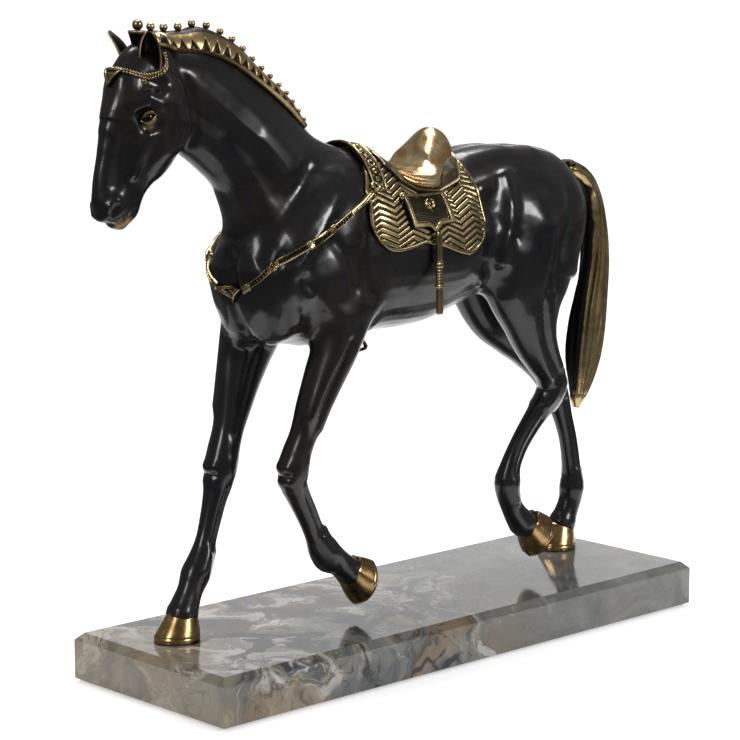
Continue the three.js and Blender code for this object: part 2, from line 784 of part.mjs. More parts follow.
function washer([x, y]) {
  const disc = toSolid(cylinder(washerDiameter, washerTop - washerThickness, washerTop, x, y));
  return disc.subtract(toSolid(cylinder(studDiameter + studClearance, 0, plinthTop, x, y)));
}

function nut([x, y]) {
  const acrossCorners = nutAcross / Math.cos(Math.PI / 6);
  const hex = toSolid(cylinder(acrossCorners, nutTop - nutHeight, nutTop, x, y, 6));
  return hex.subtract(toSolid(cylinder(studDiameter + studClearance, 0, plinthTop, x, y)));
}

// Studs rise through the slab into blind holes in the two planted feet.
function studBore(spot) {
  const [x, y] = spot;
  const deep = studReach + gap;
  return toSolid(cylinder(studDiameter + studClearance, -1, deep, x, y));
}

// --- the assembly -----------------------------------------------------------------------
const figure = new THREE.Group();
figure.position.z = plinthTop + gap;
const planted = { foreleg_right: "fore", hindleg_right: "hind" };

figure.add(
  piece("torso", torso(), darkBronze),
  piece("neck", neck(), darkBronze),
  piece("head", head(), darkBronze),
  piece("forelock", forelock(), darkBronze),
  piece("tail", tail(), goldBronze),
  piece("mane_crest", maneCrest(), goldBronze),
  piece("browband", browband(), goldBronze),
  piece("brow_plaque", browPlaque(), goldBronze),
  piece("saddle_pad", saddlePad(), goldBronze),
  piece("saddle_seat", seat(), goldBronze),
  piece("yoke_band", yoke(), goldBronze),
  piece("collar_plaque", collarPlaque(), goldBronze),
  piece("strap_left", strap(leftStrapEnds), goldBronze),
  piece("strap_right", strap(rightStrapEnds), goldBronze),
  piece("stirrup_right", stirrup(), goldBronze),
);
for (const name of legNames) {
  const place = planted[name];
  const solid = place ? leg(name).subtract(studBore(studSpots[place])) : leg(name);
  figure.add(piece(name, solid, darkBronze));
}
for (const [name, place] of Object.entries(hoofPlaces)) {
  const spot = planted[place.leg];
  const solid = spot ? hoof(place).subtract(studBore(studSpots[spot])) : hoof(place);
  figure.add(piece(name, solid, goldBronze));
}
for (const [name, side] of Object.entries(sides))
  figure.add(
    piece(`ear_${name}`, ear(side), darkBronze),
    piece(`eye_${name}`, eyeball(side), goldBronze),
    piece(`collar_${name}`, collar(side), goldBronze),
    piece(`collar_ring_${name}`, collarRing(side), goldBronze),
    piece(`panel_${name}`, panel(side), goldBronze),
    piece(`panel_ring_${name}`, panelRing(side), goldBronze),
  );

const base = new THREE.Group();
base.add(piece("plinth", plinth(), marble), piece("base_felt", baseFelt(), felt));
for (const [name, spot] of Object.entries(studSpots))
  base.add(
    piece(`stud_${name}`, stud(spot), steel),
    piece(`washer_${name}`, washer(spot), steel),
    piece(`nut_${name}`, nut(spot), steel),
  );

const statuette = new THREE.Group();
statuette.add(base, figure);
export default statuette;
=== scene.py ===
import math

import bmesh
import bpy
import numpy as np
import openvdb as vdb
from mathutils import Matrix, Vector
from mathutils.bvhtree import BVHTree


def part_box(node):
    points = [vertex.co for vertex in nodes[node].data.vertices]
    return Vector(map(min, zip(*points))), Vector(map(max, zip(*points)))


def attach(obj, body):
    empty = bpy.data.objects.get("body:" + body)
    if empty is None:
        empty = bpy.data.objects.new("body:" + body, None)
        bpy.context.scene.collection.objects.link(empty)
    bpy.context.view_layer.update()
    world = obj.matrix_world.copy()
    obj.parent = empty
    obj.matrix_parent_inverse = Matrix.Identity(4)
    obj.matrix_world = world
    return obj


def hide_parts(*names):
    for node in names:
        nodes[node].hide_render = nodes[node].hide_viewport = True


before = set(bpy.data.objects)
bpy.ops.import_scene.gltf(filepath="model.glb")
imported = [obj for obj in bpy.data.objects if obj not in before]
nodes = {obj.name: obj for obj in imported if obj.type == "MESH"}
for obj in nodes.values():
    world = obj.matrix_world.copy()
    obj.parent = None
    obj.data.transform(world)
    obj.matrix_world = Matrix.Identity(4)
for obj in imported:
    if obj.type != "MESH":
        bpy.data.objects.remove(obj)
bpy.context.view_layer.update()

# ---------------------------------------------------------------------------------------
# Camera. It stands at the horse's left front, a little over its back, with a long lens.
view_turn = math.radians(-43.28)
view_rise = math.radians(9.375)
camera = bpy.data.objects.new("camera", bpy.data.cameras.new("camera"))
camera.location = (-1.0746, -1.1140, 0.4313)
camera.rotation_euler = (math.pi / 2 - view_rise, 0, view_turn)
camera.data.lens = 121.2
camera.data.sensor_width = 36
camera.data.clip_start = 0.05
bpy.context.scene.collection.objects.link(camera)
bpy.context.scene.camera = camera

# ---------------------------------------------------------------------------------------
# Table and studio. White paper runs back under the plinth and curves up behind the horse, on
# a dark floor. Four large soft lights and a dim room let the black bronze keep its depth.
def lit_paper(name, shade, strength):
    paper = bpy.data.materials.new(name)
    paper.use_nodes = True
    surface = paper.node_tree.nodes["Principled BSDF"]
    surface.inputs["Base Color"].default_value = (shade, shade, shade, 1)
    surface.inputs["Roughness"].default_value = 0.8
    surface.inputs["Specular IOR Level"].default_value = 0.1
    surface.inputs["Emission Color"].default_value = (1, 1, 1, 1)
    surface.inputs["Emission Strength"].default_value = strength
    return paper


paper_front, paper_back, paper_top = -0.27, 1.9, 0.95
curl, half_width, widening = 0.5, 0.34, 0.13  # radius of the curve; the paper widens toward the back
profile = [(paper_front, 0.0), (paper_back, 0.0)]
profile += [(paper_back + curl * math.sin(t), curl - curl * math.cos(t)) for t in np.linspace(0.1, 1.5, 12)]
profile += [(paper_back + curl, paper_top)]
sweep = bmesh.new()
rows = []
for back, up in profile:
    reach = half_width + widening * back
    rows.append([sweep.verts.new((side * reach, back, up)) for side in (-1, 1)])
for (a, b), (c, d) in zip(rows[:-1], rows[1:]):
    sweep.faces.new((a, b, d, c)).smooth = True
sheet = bpy.data.meshes.new("paper_sweep")
sweep.to_mesh(sheet)
sweep.free()
table = bpy.data.objects.new("paper_sweep", sheet)
table.location.z = -0.0004
table.rotation_euler.z = view_turn
sheet.materials.append(lit_paper("white_paper", 0.86, 0.45))
bpy.context.scene.collection.objects.link(table)

bare_floor = bpy.data.meshes.new("studio_floor")
wide = 6
bare_floor.from_pydata([(-wide, -wide, 0), (wide, -wide, 0), (wide, wide, 0), (-wide, wide, 0)],
                       [], [(0, 1, 2, 3)])
floor = bpy.data.objects.new("studio_floor", bare_floor)
floor.location.z = -0.004
bare_floor.materials.append(lit_paper("grey_floor", 0.13, 0.0))
bpy.context.scene.collection.objects.link(floor)


def soft_light(name, place, size, power, aim=(0, 0, 0.2)):
    lamp = bpy.data.lights.new(name, "AREA")
    lamp.shape = "RECTANGLE"
    lamp.size, lamp.size_y = size
    lamp.energy = power
    stand = bpy.data.objects.new(name, lamp)
    stand.location = place
    toward = Vector(aim) - Vector(place)
    stand.rotation_euler = toward.to_track_quat("-Z", "Y").to_euler()
    bpy.context.scene.collection.objects.link(stand)


soft_light("left_softbox", (0.55, -1.7, 1.05), (0.55, 0.55), 17)
soft_light("front_softbox", (-1.9, -0.35, 1.25), (0.5, 0.8), 13)
soft_light("top_softbox", (0.1, 0.35, 1.9), (1.3, 0.5), 24)
soft_light("back_strip", (1.3, 1.0, 2.3), (0.5, 0.9), 14)

room = bpy.data.worlds.new("studio")
room.use_nodes = True
room.node_tree.nodes["Background"].inputs["Color"].default_value = (1, 1, 1, 1)
room.node_tree.nodes["Background"].inputs["Strength"].default_value = 0.19
bpy.context.scene.world = room
bpy.context.scene.view_settings.view_transform = "Standard"

# ---------------------------------------------------------------------------------------
# The horse's skin: seven bronze castings, brazed together and chased smooth. Each is
# modelled as clay: oval limbs melted into each other, then strokes that raise or hollow it.
mm = 0.001
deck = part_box("plinth")[1].z / mm + 0.3  # the top of the slab, in millimetres
LEFT, RIGHT = -1, 1
both_sides = (("left", LEFT), ("right", RIGHT))


def smooth_line(stations, count):
    """Points on a smooth curve through the stations, evenly spaced along it."""
    places = np.array(stations, float)
    gaps = np.linalg.norm(np.diff(places[:, :3], axis=0), axis=1)
    knots = np.concatenate([[0], np.cumsum(gaps)])
    slope = np.gradient(places, knots, axis=0)
    at = np.linspace(0, knots[-1], count)
    span = np.clip(np.searchsorted(knots, at, side="right") - 1, 0, len(gaps) - 1)
    width = gaps[span][:, None]
    t = ((at - knots[span]) / gaps[span])[:, None]
    start, end = places[span], places[span + 1]
    rise, fall = slope[span] * width, slope[span + 1] * width
    return (
        (2 * t**3 - 3 * t**2 + 1) * start + (t**3 - 2 * t**2 + t) * rise
        + (3 * t**2 - 2 * t**3) * end + (t**3 - t**2) * fall
    )


def unit(vectors):
    return vectors / np.maximum(np.linalg.norm(vectors, axis=-1, keepdims=True), 1e-9)


def tube_triangles(rings, around):
    """Triangles of a closed tube whose last two points are the middles of its ends."""
    i, j = np.meshgrid(np.arange(rings - 1), np.arange(around), indexing="ij")
    a, b = i * around + j, i * around + (j + 1) % around
    walls = np.stack([a, b, a + around, b, b + around, a + around], -1).reshape(-1, 3)
    rim = np.arange(around)
    after = (rim + 1) % around
    last = (rings - 1) * around
    first_cap = np.stack([np.full(around, rings * around), after, rim], -1)
    last_cap = np.stack([np.full(around, rings * around + 1), last + rim, last + after], -1)
    return np.concatenate([walls, first_cap, last_cap])


def oval_limb(stations, rings=72, around=44, pinch=0.0, flat=0.0):
    """A limb round a curve. A station is x, y, z, half width, half depth above and below.
    pinch narrows its upper half, flat squares its section."""
    full = [s if len(s) == 6 else (*s, s[4]) for s in stations]
    line = smooth_line(full, rings)
    centre, wide, up, down = line[:, :3], line[:, 3:4], line[:, 4:5], line[:, 5:6]
    along = unit(np.gradient(centre, axis=0))
    across = unit(np.array([0, 1, 0]) - along * along[:, 1:2])
    above = np.cross(along, across)
    turn = np.linspace(0, 2 * np.pi, around, endpoint=False)[None, :]
    side, high = np.cos(turn), np.sin(turn)
    bulge = 1 + flat * np.abs(side * high)
    narrow = 1 - pinch * np.maximum(0, high)
    points = (
        centre[:, None]
        + across[:, None] * (wide * side * narrow * bulge)[..., None]
        + above[:, None] * (np.where(high > 0, up, down) * high * bulge)[..., None]
    )
    return np.concatenate([points.reshape(-1, 3), centre[:1], centre[-1:]])


def distance_to_line(points, route):
    """Distance from each point to a chain of straight stretches."""
    nearest = np.full(points.shape[:-1], 1e9, np.float32)
    for a, b in zip(route[:-1], route[1:]):
        edge = b - a
        share = np.clip(((points - a) @ edge) / max(edge @ edge, 1e-9), 0, 1)
        gap = np.linalg.norm(points - a - share[..., None] * edge, axis=-1)
        nearest = np.minimum(nearest, gap)
    return nearest


class Clay:
    """A block of space with the signed distance to the modelled surface in it."""

    reach = 13.0  # how far from a limb's surface its distance is still known

    def __init__(self, low, high, step):
        self.low, self.step = np.array(low, float), step
        self.shape = np.ceil((np.array(high) - self.low) / step).astype(int)
        self.field = np.full(self.shape, self.reach, np.float32)

    def block(self, low, high):
        a = np.clip(np.floor((low - self.low) / self.step).astype(int), 0, self.shape)
        b = np.clip(np.ceil((high - self.low) / self.step).astype(int), 0, self.shape)
        return a, b

    def limb(self, surface, around, melt):
        """Melts a limb into the clay, with a fillet about as wide as melt."""
        low, high = surface.min(0) - self.reach, surface.max(0) + self.reach
        a, b = self.block(low, high)
        if (b <= a).any():
            return
        rings = (len(surface) - 2) // around
        grid = vdb.FloatGrid.createLevelSetFromPolygons(
            (surface - self.low).astype(np.float32),
            triangles=tube_triangles(rings, around).astype(np.uint32),
            transform=vdb.createLinearTransform(voxelSize=self.step),
            halfWidth=self.reach / self.step,
        )
        new = np.empty(b - a, np.float32)
        grid.copyToArray(new, ijk=tuple(int(v) for v in a))
        old = self.field[a[0]:b[0], a[1]:b[1], a[2]:b[2]]
        mix = np.clip(0.5 + 0.5 * (old - new) / melt, 0, 1)
        old[...] = old + (new - old) * mix - melt * mix * (1 - mix)

    def stroke(self, route, radius, height):
        """Raises, or with a negative height hollows, a soft ridge along a route."""
        route = np.array(route, float)
        margin = 2.6 * radius
        a, b = self.block(route.min(0) - margin, route.max(0) + margin)
        if (b <= a).any():
            return
        axes = [self.low[k] + self.step * np.arange(a[k], b[k]) for k in range(3)]
        points = np.stack(np.meshgrid(*axes, indexing="ij"), -1).astype(np.float32)
        near = distance_to_line(points, route.astype(np.float32))
        self.field[a[0]:b[0], a[1]:b[1], a[2]:b[2]] -= height * np.exp(-((near / radius) ** 2))

    def surface(self):
        grid = vdb.FloatGrid(self.reach)
        grid.copyFromArray(self.field)
        points, quads = grid.convertToQuads(isovalue=0.0)
        return points * self.step + self.low, quads[:, ::-1]


torso_limb = [
    (-137, 0, 212, 10, 10, 10), (-134, 0, 212.5, 21, 20, 20), (-129, 0, 213, 29, 29, 31),
    (-117, 0, 214, 35, 41, 40), (-100, 0, 218, 37, 53, 48.5), (-84, 0, 221, 38, 60, 51.5),
    (-60, 0, 226, 40, 62, 55.5), (-44, 0, 228, 42, 59, 56.5), (-28, 0, 227, 44, 51, 53),
    (-10, 0, 226, 45, 45, 52), (8, 0, 226, 46, 44.5, 50), (27, 0, 227, 45.5, 52, 45),
    (50, 0, 231, 42, 51.5, 42), (68, 0, 234, 40, 50.8, 41), (88, 0, 236, 41.5, 48.4, 41),
    (112, 0, 240, 42, 42.4, 39), (132, 0, 240, 35, 35.4, 35), (146, 0, 242, 24, 26, 25),
    (154, 0, 243, 12, 14, 15), (157, 0, 243, 6, 7, 8),
]
neck_limb = [
    (-199, 0, 334, 8, 18), (-190, 0, 333, 11, 22.5), (-179, 0, 328.4, 13, 30.4), (-161, 0, 321, 14.5, 33.6),
    (-142.5, 0, 308, 16.5, 33.2), (-123, 0, 292.4, 20.5, 34.6), (-102, 0, 267, 26, 41),
    (-84, 0, 246, 29, 47), (-66, 0, 226, 28, 50),
]
head_limb = [
    (-226, 0, 255.4, 6, 6), (-225.8, 0, 259, 9, 8.7), (-225.4, 0, 263.5, 10.4, 11.4),
    (-223.6, 0, 269.5, 10, 13.6), (-220.4, 0, 277.5, 10, 16.2), (-215.2, 0, 286, 11.6, 20.4),
    (-209.6, 0, 294.5, 14, 24.8), (-204.3, 0, 305, 16, 27), (-202.3, 0, 316, 16.6, 27),
    (-201.3, 0, 328, 16, 24.2), (-199.8, 0, 340, 13.6, 18.9), (-197, 0, 349, 10, 12.4),
    (-195, 0, 354, 5.5, 6),
]
fore_left_limb = [
    (-72, -20, 226, 14, 24), (-73, -25, 208, 15, 25), (-75, -27.5, 190, 14, 20),
    (-80.5, -27.5, 172, 12.6, 14.6), (-88.5, -25.5, 154, 11, 11.6), (-96.3, -24, 136.5, 9.6, 9.2),
    (-101.4, -22.4, 121, 8.7, 7.8), (-106, -21, 108.5, 9, 8.2), (-108.4, -20.3, 99.5, 9.2, 8.8),
    (-107.4, -20, 91.5, 8.2, 8.2), (-103, -19.4, 83, 6.8, 7.4), (-96.6, -18.8, 72, 6, 6.8),
    (-87.8, -18, 55.5, 5.7, 6.8), (-82.4, -17.4, 46.3, 7.4, 8.6), (-76.8, -17, 41, 8.4, 10),
    (-69, -17, 36.2, 7.3, 8.4), (-62.5, -17, 31.2, 8.2, 8.2), (-57.5, -17, 27.2, 9.4, 9.2),
    (-54.5, -17, 25, 8, 8),
]
fore_right_limb = [
    (-76, 18, 226, 14, 24), (-84.5, 24, 206, 15, 25), (-92.5, 26.5, 190, 14, 23.2),
    (-103.5, 24.5, 174, 12.8, 20.2), (-112.6, 22, 155, 11, 15.8), (-119.6, 20, 136.5, 9.8, 11.8),
    (-125.4, 19.2, 120, 9, 9.4), (-130, 18.4, 107, 9.4, 9.8), (-132.6, 18, 98, 9.5, 10),
    (-134.8, 18, 88, 8.2, 8.6), (-137.6, 17.4, 80.5, 6.9, 7.4), (-141, 17, 70, 6, 6.7),
    (-146.6, 16.2, 54.5, 5.7, 6.5), (-151.5, 15.4, 44, 7.5, 7.9), (-155, 15, 37.5, 8.4, 9),
    (-160, 14.2, 28.5, 7.3, 7.7), (-164.5, 13.8, 20, 8.4, 8.6), (-167.5, 13.6, 13.5, 9.4, 9.6),
    (-168.5, 13.6, 10, 8, 8),
]
hind_left_limb = [
    (112, -18, 248, 14, 26), (103, -23, 232, 18, 36), (91.5, -27, 215, 19, 39.6),
    (87.2, -28, 200, 17.5, 36.9), (88.4, -28.5, 186, 15, 31.8), (91.4, -27.5, 173, 12.5, 23.6),
    (97, -25.5, 159, 10.6, 17.6), (106, -23.5, 145.5, 9, 13.6), (114.5, -22, 134.5, 8.2, 11.2),
    (119.5, -21, 125.5, 8.2, 11.2), (116.5, -20.4, 117.5, 7.8, 9.4), (108.5, -19.4, 109, 6.8, 7.6),
    (98, -18.4, 97, 5.8, 6.8), (88.5, -18, 84.5, 5.6, 6.6), (83, -17.8, 74, 6.6, 7),
    (81.2, -17.2, 65, 8.2, 8.6), (82, -17, 56.5, 7.4, 7.8), (86, -17, 47, 7, 7.2),
    (91.5, -17, 39.5, 8, 8.2), (97, -17, 34, 9.3, 9.2), (101, -17, 31, 8, 8),
]
hind_right_limb = [
    (114, 18, 248, 14, 26), (109, 23, 232, 18, 36), (104, 26.5, 213, 18.5, 35.4),
    (102, 27.5, 197, 16.5, 30), (104.4, 27.5, 183, 14.5, 24), (111.5, 26.4, 168, 12.4, 19.6),
    (124.5, 25, 154.5, 10.4, 15.4), (141.5, 24, 141, 9, 12.6), (156, 22.6, 128, 8.2, 11.6),
    (165, 21.6, 115.5, 8, 10.4), (171, 21, 103, 7.2, 8.6), (175.2, 20, 90, 5.9, 6.9),
    (178.6, 19, 77.5, 5.5, 6.5), (180.8, 18.2, 64, 5.6, 6.6), (182.3, 18, 51, 6.6, 7),
    (182.8, 18, 41.5, 8.2, 8.6), (181, 18, 32, 7.4, 7.8), (177.3, 18.3, 23.5, 7.8, 8),
    (173.4, 18.6, 16, 9.3, 9.3), (171.8, 18.8, 12.5, 8, 8),
]

chin_limb = [
    (-225, 0, 256.4, 5, 4), (-220.2, 0, 257.6, 7.6, 5.6), (-215.8, 0, 260.8, 8, 7),
    (-211.6, 0, 268, 7.4, 6.8), (-207, 0, 277, 7, 6.6), (-201, 0, 287, 7, 7),
]
# limb: its stations, the form of its section, how widely it melts into what is there
limbs = {
    "torso": (torso_limb, {}, 4),
    "neck": (neck_limb, {"pinch": 0.34}, 13),
    "head": (head_limb, {"pinch": 0.24, "flat": 0.1}, 6),
    "chin": (chin_limb, {}, 3.5),
    "foreleg_left": (fore_left_limb, {"flat": 0.08}, 9),
    "foreleg_right": (fore_right_limb, {"flat": 0.08}, 9),
    "hindleg_left": (hind_left_limb, {"flat": 0.06}, 11),
    "hindleg_right": (hind_right_limb, {"flat": 0.06}, 11),
}
limb_around = 44


def with_mirror(strokes):
    """The strokes in order, each with its twin on the right unless it lies on the middle."""
    paired = []
    for route, radius, height in strokes:
        route = np.array(route, float)
        sides = (LEFT, RIGHT) if (route[:, 1] > 0).all() else (1,)
        paired += [(route * (1, side, 1), radius, height) for side in sides]
    return paired


# Muscle and bone on the trunk and neck, as (route, radius, height) strokes.
trunk_strokes = with_mirror([
    ([(-78, 27, 272), (-92, 34, 258), (-108, 38, 243), (-119, 37, 226)], 9, 2.6),
    ([(-72, 34, 250), (-84, 39, 232), (-95, 41, 216)], 13, 2.0),
    ([(-124, 33, 222), (-122, 35, 210)], 8, 2.2),
    ([(-96, 24, 279), (-112, 27, 262), (-125, 29, 245), (-131, 27, 229)], 5.5, -2.6),
    ([(-60, 36, 250), (-64, 42, 226), (-62, 41, 204)], 7, -1.5),
    ([(-104, 38, 206), (-92, 39, 196), (-80, 38, 190)], 6, 1.4),
    ([(-113, 36, 216), (-104, 40, 207), (-101, 38, 194), (-106, 34, 182)], 3.8, -1.9),
    ([(-128, 15, 220), (-126, 17, 200), (-116, 18, 186)], 9, 3.4),
    ([(-119, 31, 203), (-114, 31, 190)], 5, 1.6),
    ([(-134, 7, 200), (-131, 10, 187), (-121, 14, 176)], 7, 1.9),
    ([(-84, 33, 262), (-99, 38, 244), (-112, 40, 232), (-120, 36, 220)], 3.4, 1.2),
    ([(-90, 40, 236), (-80, 41, 222), (-76, 41, 208)], 4.5, -1.1),
    ([(-12, 45, 222), (6, 46, 222), (24, 45, 224)], 12, 0.9),
    ([(34, 41, 252), (46, 42, 240), (60, 43, 228)], 3.5, -0.8),
    ([(58, 40, 250), (55, 43, 236), (50, 43, 222), (47, 42, 208)], 3.0, 1.0),
    ([(86, 43, 232), (84, 45, 214), (80, 45, 200)], 9, 1.5),
    ([(94, 44, 226), (90, 45, 208), (88, 44, 194)], 3.2, -1.2),
    ([(64, 45, 214), (62, 46, 202), (62, 45, 190)], 9, 1.2),
    ([(-166, 13, 334), (-148, 15, 320), (-130, 18, 304)], 3.6, -0.25),
    ([(-152, 15, 300), (-138, 18, 282), (-128, 22, 262)], 5, 0.4),
    ([(-139, 0, 226), (-137, 0, 208), (-130, 0, 190), (-118, 0, 178)], 4.5, -3.0),
    ([(-66, 38, 198), (-48, 41, 190), (-24, 38, 184)], 9, 0.9),
    ([(36, 37, 262), (52, 37, 270), (66, 35, 272)], 6.5, 2.4),
    ([(60, 33, 262), (58, 41, 246), (53, 43, 230), (50, 42, 214)], 6.0, 2.2),
    ([(72, 42, 252), (76, 44, 236), (72, 44, 220)], 13, 1.4),
    ([(40, 40, 246), (40, 42, 230), (36, 40, 216)], 10, -2.0),
    ([(22, 40, 211), (30, 38, 207), (38, 37, 198), (42, 36, 186)], 3.2, 1.3),
    ([(36, 39, 212), (47, 39, 205), (52, 38, 194)], 5.5, -0.9),
    ([(112, 34, 250), (103, 40, 226), (96, 41, 204), (100, 36, 186)], 6.5, -1.9),
    ([(92, 38, 258), (84, 43, 240)], 12, 1.5),
    ([(124, 30, 246), (120, 34, 226), (118, 32, 208)], 10, 1.5),
    ([(44, 16, 277), (70, 18, 281), (100, 17, 280)], 9, 1.3),
    ([(40, 0, 276), (80, 0, 283), (128, 0, 276)], 4.5, -0.9),
    ([(-176, 12, 338), (-150, 14, 326), (-126, 19, 306), (-104, 25, 284)], 9, 0.9),
    ([(-178, 13, 322), (-154, 15, 304), (-134, 19, 286), (-122, 23, 266)], 7.5, -1.1),
    ([(-178, 10, 306), (-163, 12, 290), (-150, 14, 270), (-141, 17, 248)], 7, 0.8),
    ([(-170, 7, 300), (-154, 9, 280), (-143, 11, 256)], 4.5, -0.7),
    ([(-184, 11, 346), (-160, 12, 345), (-134, 14, 334), (-112, 18, 314)], 4.5, -0.6),
])
# Skull: cheek, facial crest, brow, nasal bone, nostril, lips and chin.
head_strokes = with_mirror([
    ([(-194, 13, 320), (-191, 14, 308), (-196, 14, 297)], 10, 1.9),
    ([(-197, 14, 338), (-187, 13.6, 331), (-180.5, 13.2, 319), (-179.5, 12.6, 306),
      (-184, 12, 295)], 3.4, 1.1),
    ([(-190, 12.5, 342), (-181, 12.6, 333), (-174.5, 12.4, 319), (-173.5, 12, 305),
      (-178, 11, 293)], 3.6, -1.3),
    ([(-188, 9, 336), (-184, 10, 322), (-186, 11, 308), (-194, 11, 297), (-203, 10, 290)], 3.6, 1.7),
    ([(-209, 14.6, 303), (-214, 12.6, 291), (-217, 11.4, 282)], 3.6, 1.0),
    ([(-205, 15.5, 297), (-211, 13, 285), (-214, 11, 276)], 6, -0.8),
    ([(-221.5, 8, 304), (-224.5, 7, 288), (-227, 6.5, 276)], 4, -1.0),
    ([(-214.6, 12.4, 322), (-209, 16.2, 324.4), (-202.5, 16.2, 321)], 3.6, 2.8),
    ([(-213.5, 12, 316), (-210, 13.4, 307.5), (-204.5, 15.8, 309.5)], 3.4, -1.5),
    ([(-205.5, 14, 333), (-201.5, 14, 331)], 4.5, -2.0),
    ([(-219.5, 7, 334), (-216.5, 9.6, 325)], 6, 1.2),
    ([(-197.5, 15.5, 326), (-192, 14, 322)], 4, 1.0),
    ([(-228, 9.2, 268), (-232, 9.2, 264.6), (-234, 8.2, 259)], 2.6, 1.5),
    ([(-229.4, 10.2, 264.6), (-231.6, 9.8, 261), (-231.6, 9.2, 257.8)], 2.1, -2.3),
    ([(-221.6, 9.2, 259.4), (-216, 9.6, 262.8), (-212.4, 10.2, 267)], 1.35, -1.7),
    ([(-232.4, -6, 257.6), (-233.6, 0, 257.4), (-232.4, 6, 257.6)], 2.4, 1.0),
    ([(-229.6, -5, 251.6), (-230.6, 0, 251), (-229.6, 5, 251.6)], 1.4, -1.2),
    ([(-229.6, 5, 251.6), (-226, 7.6, 254), (-221.6, 9, 258.6)], 1.3, -1.7),
    ([(-221, -3, 252.5), (-220, 0, 252), (-221, 3, 252.5)], 4, 1.6),
    ([(-226, 0, 331), (-226, 0, 318)], 6, -0.8),
    ([(-192.5, 5, 352), (-188, 8, 344)], 4, 1.2),
])


def knee_strokes(knee, side):
    """Bones and hollows of a front knee, given from the middle of its front."""
    from_knee = [
        ((2, 8 * side, 6), (2, 8 * side, -1), 4, 0.9), ((2, -8 * side, 6), (2, -8 * side, -1), 4, 0.8),
        ((-8, -4, 4), (-8, 4, 4), 3, 0.8), ((-8, -5, -1), (-8, 5, -1), 2, -0.7),
        ((9, -2, 5), (10, 2, 3), 3, 1.6), ((-7, -4, -6), (-7, 4, -6), 2.6, 0.7),
    ]
    return [(np.array([start, end]) + knee, radius, height) for start, end, radius, height in from_knee]


def along_leg(limb, side, start, end, forward, out, radius, height):
    """A stroke beside a stretch of a leg, offset forward and outward from its middle line."""
    line = smooth_line([s[:3] for s in limb], 201)
    part = line[np.linspace(start * 200, end * 200, 6).astype(int)]
    along = unit(np.gradient(part, axis=0))
    ahead = np.stack([along[:, 2], 0 * along[:, 0], -along[:, 0]], -1)
    ahead *= -np.sign(ahead[:, :1] + 1e-9)
    return (part + ahead * forward + np.array([0, side * out, 0]), radius, height)


# Sinew and bone down the legs. A row is the start and end as shares of the leg's length, then
# forward, outward, radius and height.
foreleg_rows = [
    (0.16, 0.44, 6, 9.5, 6, 1.6), (0.2, 0.46, -5.5, 9.5, 5, 1.3), (0.22, 0.5, 1, 11, 2.6, -1.4),
    (0.2, 0.5, 2, -10, 4, -1.0), (0.58, 0.8, -1.6, 5.6, 1.9, -1.1),
    (0.58, 0.8, -1.6, -5.6, 1.9, -1.1), (0.56, 0.8, -5.6, 0, 2.4, 0.9),
    (0.8, 0.85, -8.5, 0, 3.2, 2.2), (0.8, 0.86, 0, 7.6, 3.4, 0.8), (0.8, 0.86, 0, -7.6, 3.4, 0.8),
    (0.87, 0.93, -5.6, 0, 2.6, -1.0),
]
hindleg_rows = [
    (0.3, 0.5, 8, 10, 5, 1.5), (0.28, 0.5, -6, 11, 6, 1.4), (0.26, 0.52, 2, 12, 3, -1.6),
    (0.36, 0.54, -9.5, 6, 2.6, -1.8), (0.36, 0.54, -9.5, -6, 2.6, -1.5),
    (0.36, 0.56, -14, 0, 2.6, 1.0), (0.555, 0.6, -10.5, 0, 3.4, 2.0),
    (0.56, 0.62, 3, 8.2, 3.8, 1.2), (0.56, 0.62, 3, -8.2, 3.8, 1.2),
    (0.65, 0.82, -1.6, 5.6, 1.9, -1.0), (0.65, 0.82, -1.6, -5.6, 1.9, -1.0),
    (0.64, 0.82, -5.8, 0, 2.2, 0.9), (0.845, 0.885, -8.2, 0, 3.2, 2.2),
    (0.84, 0.89, 0, 7.6, 3.4, 0.8), (0.84, 0.89, 0, -7.6, 3.4, 0.8),
]


def leg_modelling(limb, side, rows):
    return [along_leg(limb, side, *row) for row in rows]


leg_strokes = (
    knee_strokes((-107.5, -20, 98), LEFT) + leg_modelling(fore_left_limb, LEFT, foreleg_rows)
    + knee_strokes((-133, 18, 97), RIGHT) + leg_modelling(fore_right_limb, RIGHT, foreleg_rows)
    + leg_modelling(hind_left_limb, LEFT, hindleg_rows)
    + leg_modelling(hind_right_limb, RIGHT, hindleg_rows)
)
depth_of_modelling = 1.55  # how much bolder the strokes are cut than their heights say


def sculpt(low, high, step):
    """The whole horse's clay inside one block of space."""
    clay = Clay(low, high, step)
    for stations, form, melt in limbs.values():
        clay.limb(oval_limb(stations, around=limb_around, **form), limb_around, melt)
    for route, radius, height in (*trunk_strokes, *head_strokes, *leg_strokes):
        clay.stroke(route, radius, height * depth_of_modelling)
    return clay.surface()


def bronze_object(name, points, faces):
    """A mesh from points in the figure's millimetres, standing on the slab."""
    mesh = bpy.data.meshes.new(name)
    placed = (np.asarray(points, float) + (0, 0, deck)) * mm
    mesh.from_pydata(placed.tolist(), [], [list(map(int, f)) for f in faces])
    mesh.validate()
    mesh.shade_smooth()
    made = bpy.data.objects.new(name, mesh)
    bpy.context.scene.collection.objects.link(made)
    return made


def put_back(shape, made):
    """Turns an edited mesh's faces outward and gives it back to its object."""
    bmesh.ops.recalc_face_normals(shape, faces=shape.faces)
    shape.to_mesh(made.data)
    shape.free()


def turn_outward(made):
    shape = bmesh.new()
    shape.from_mesh(made.data)
    put_back(shape, made)


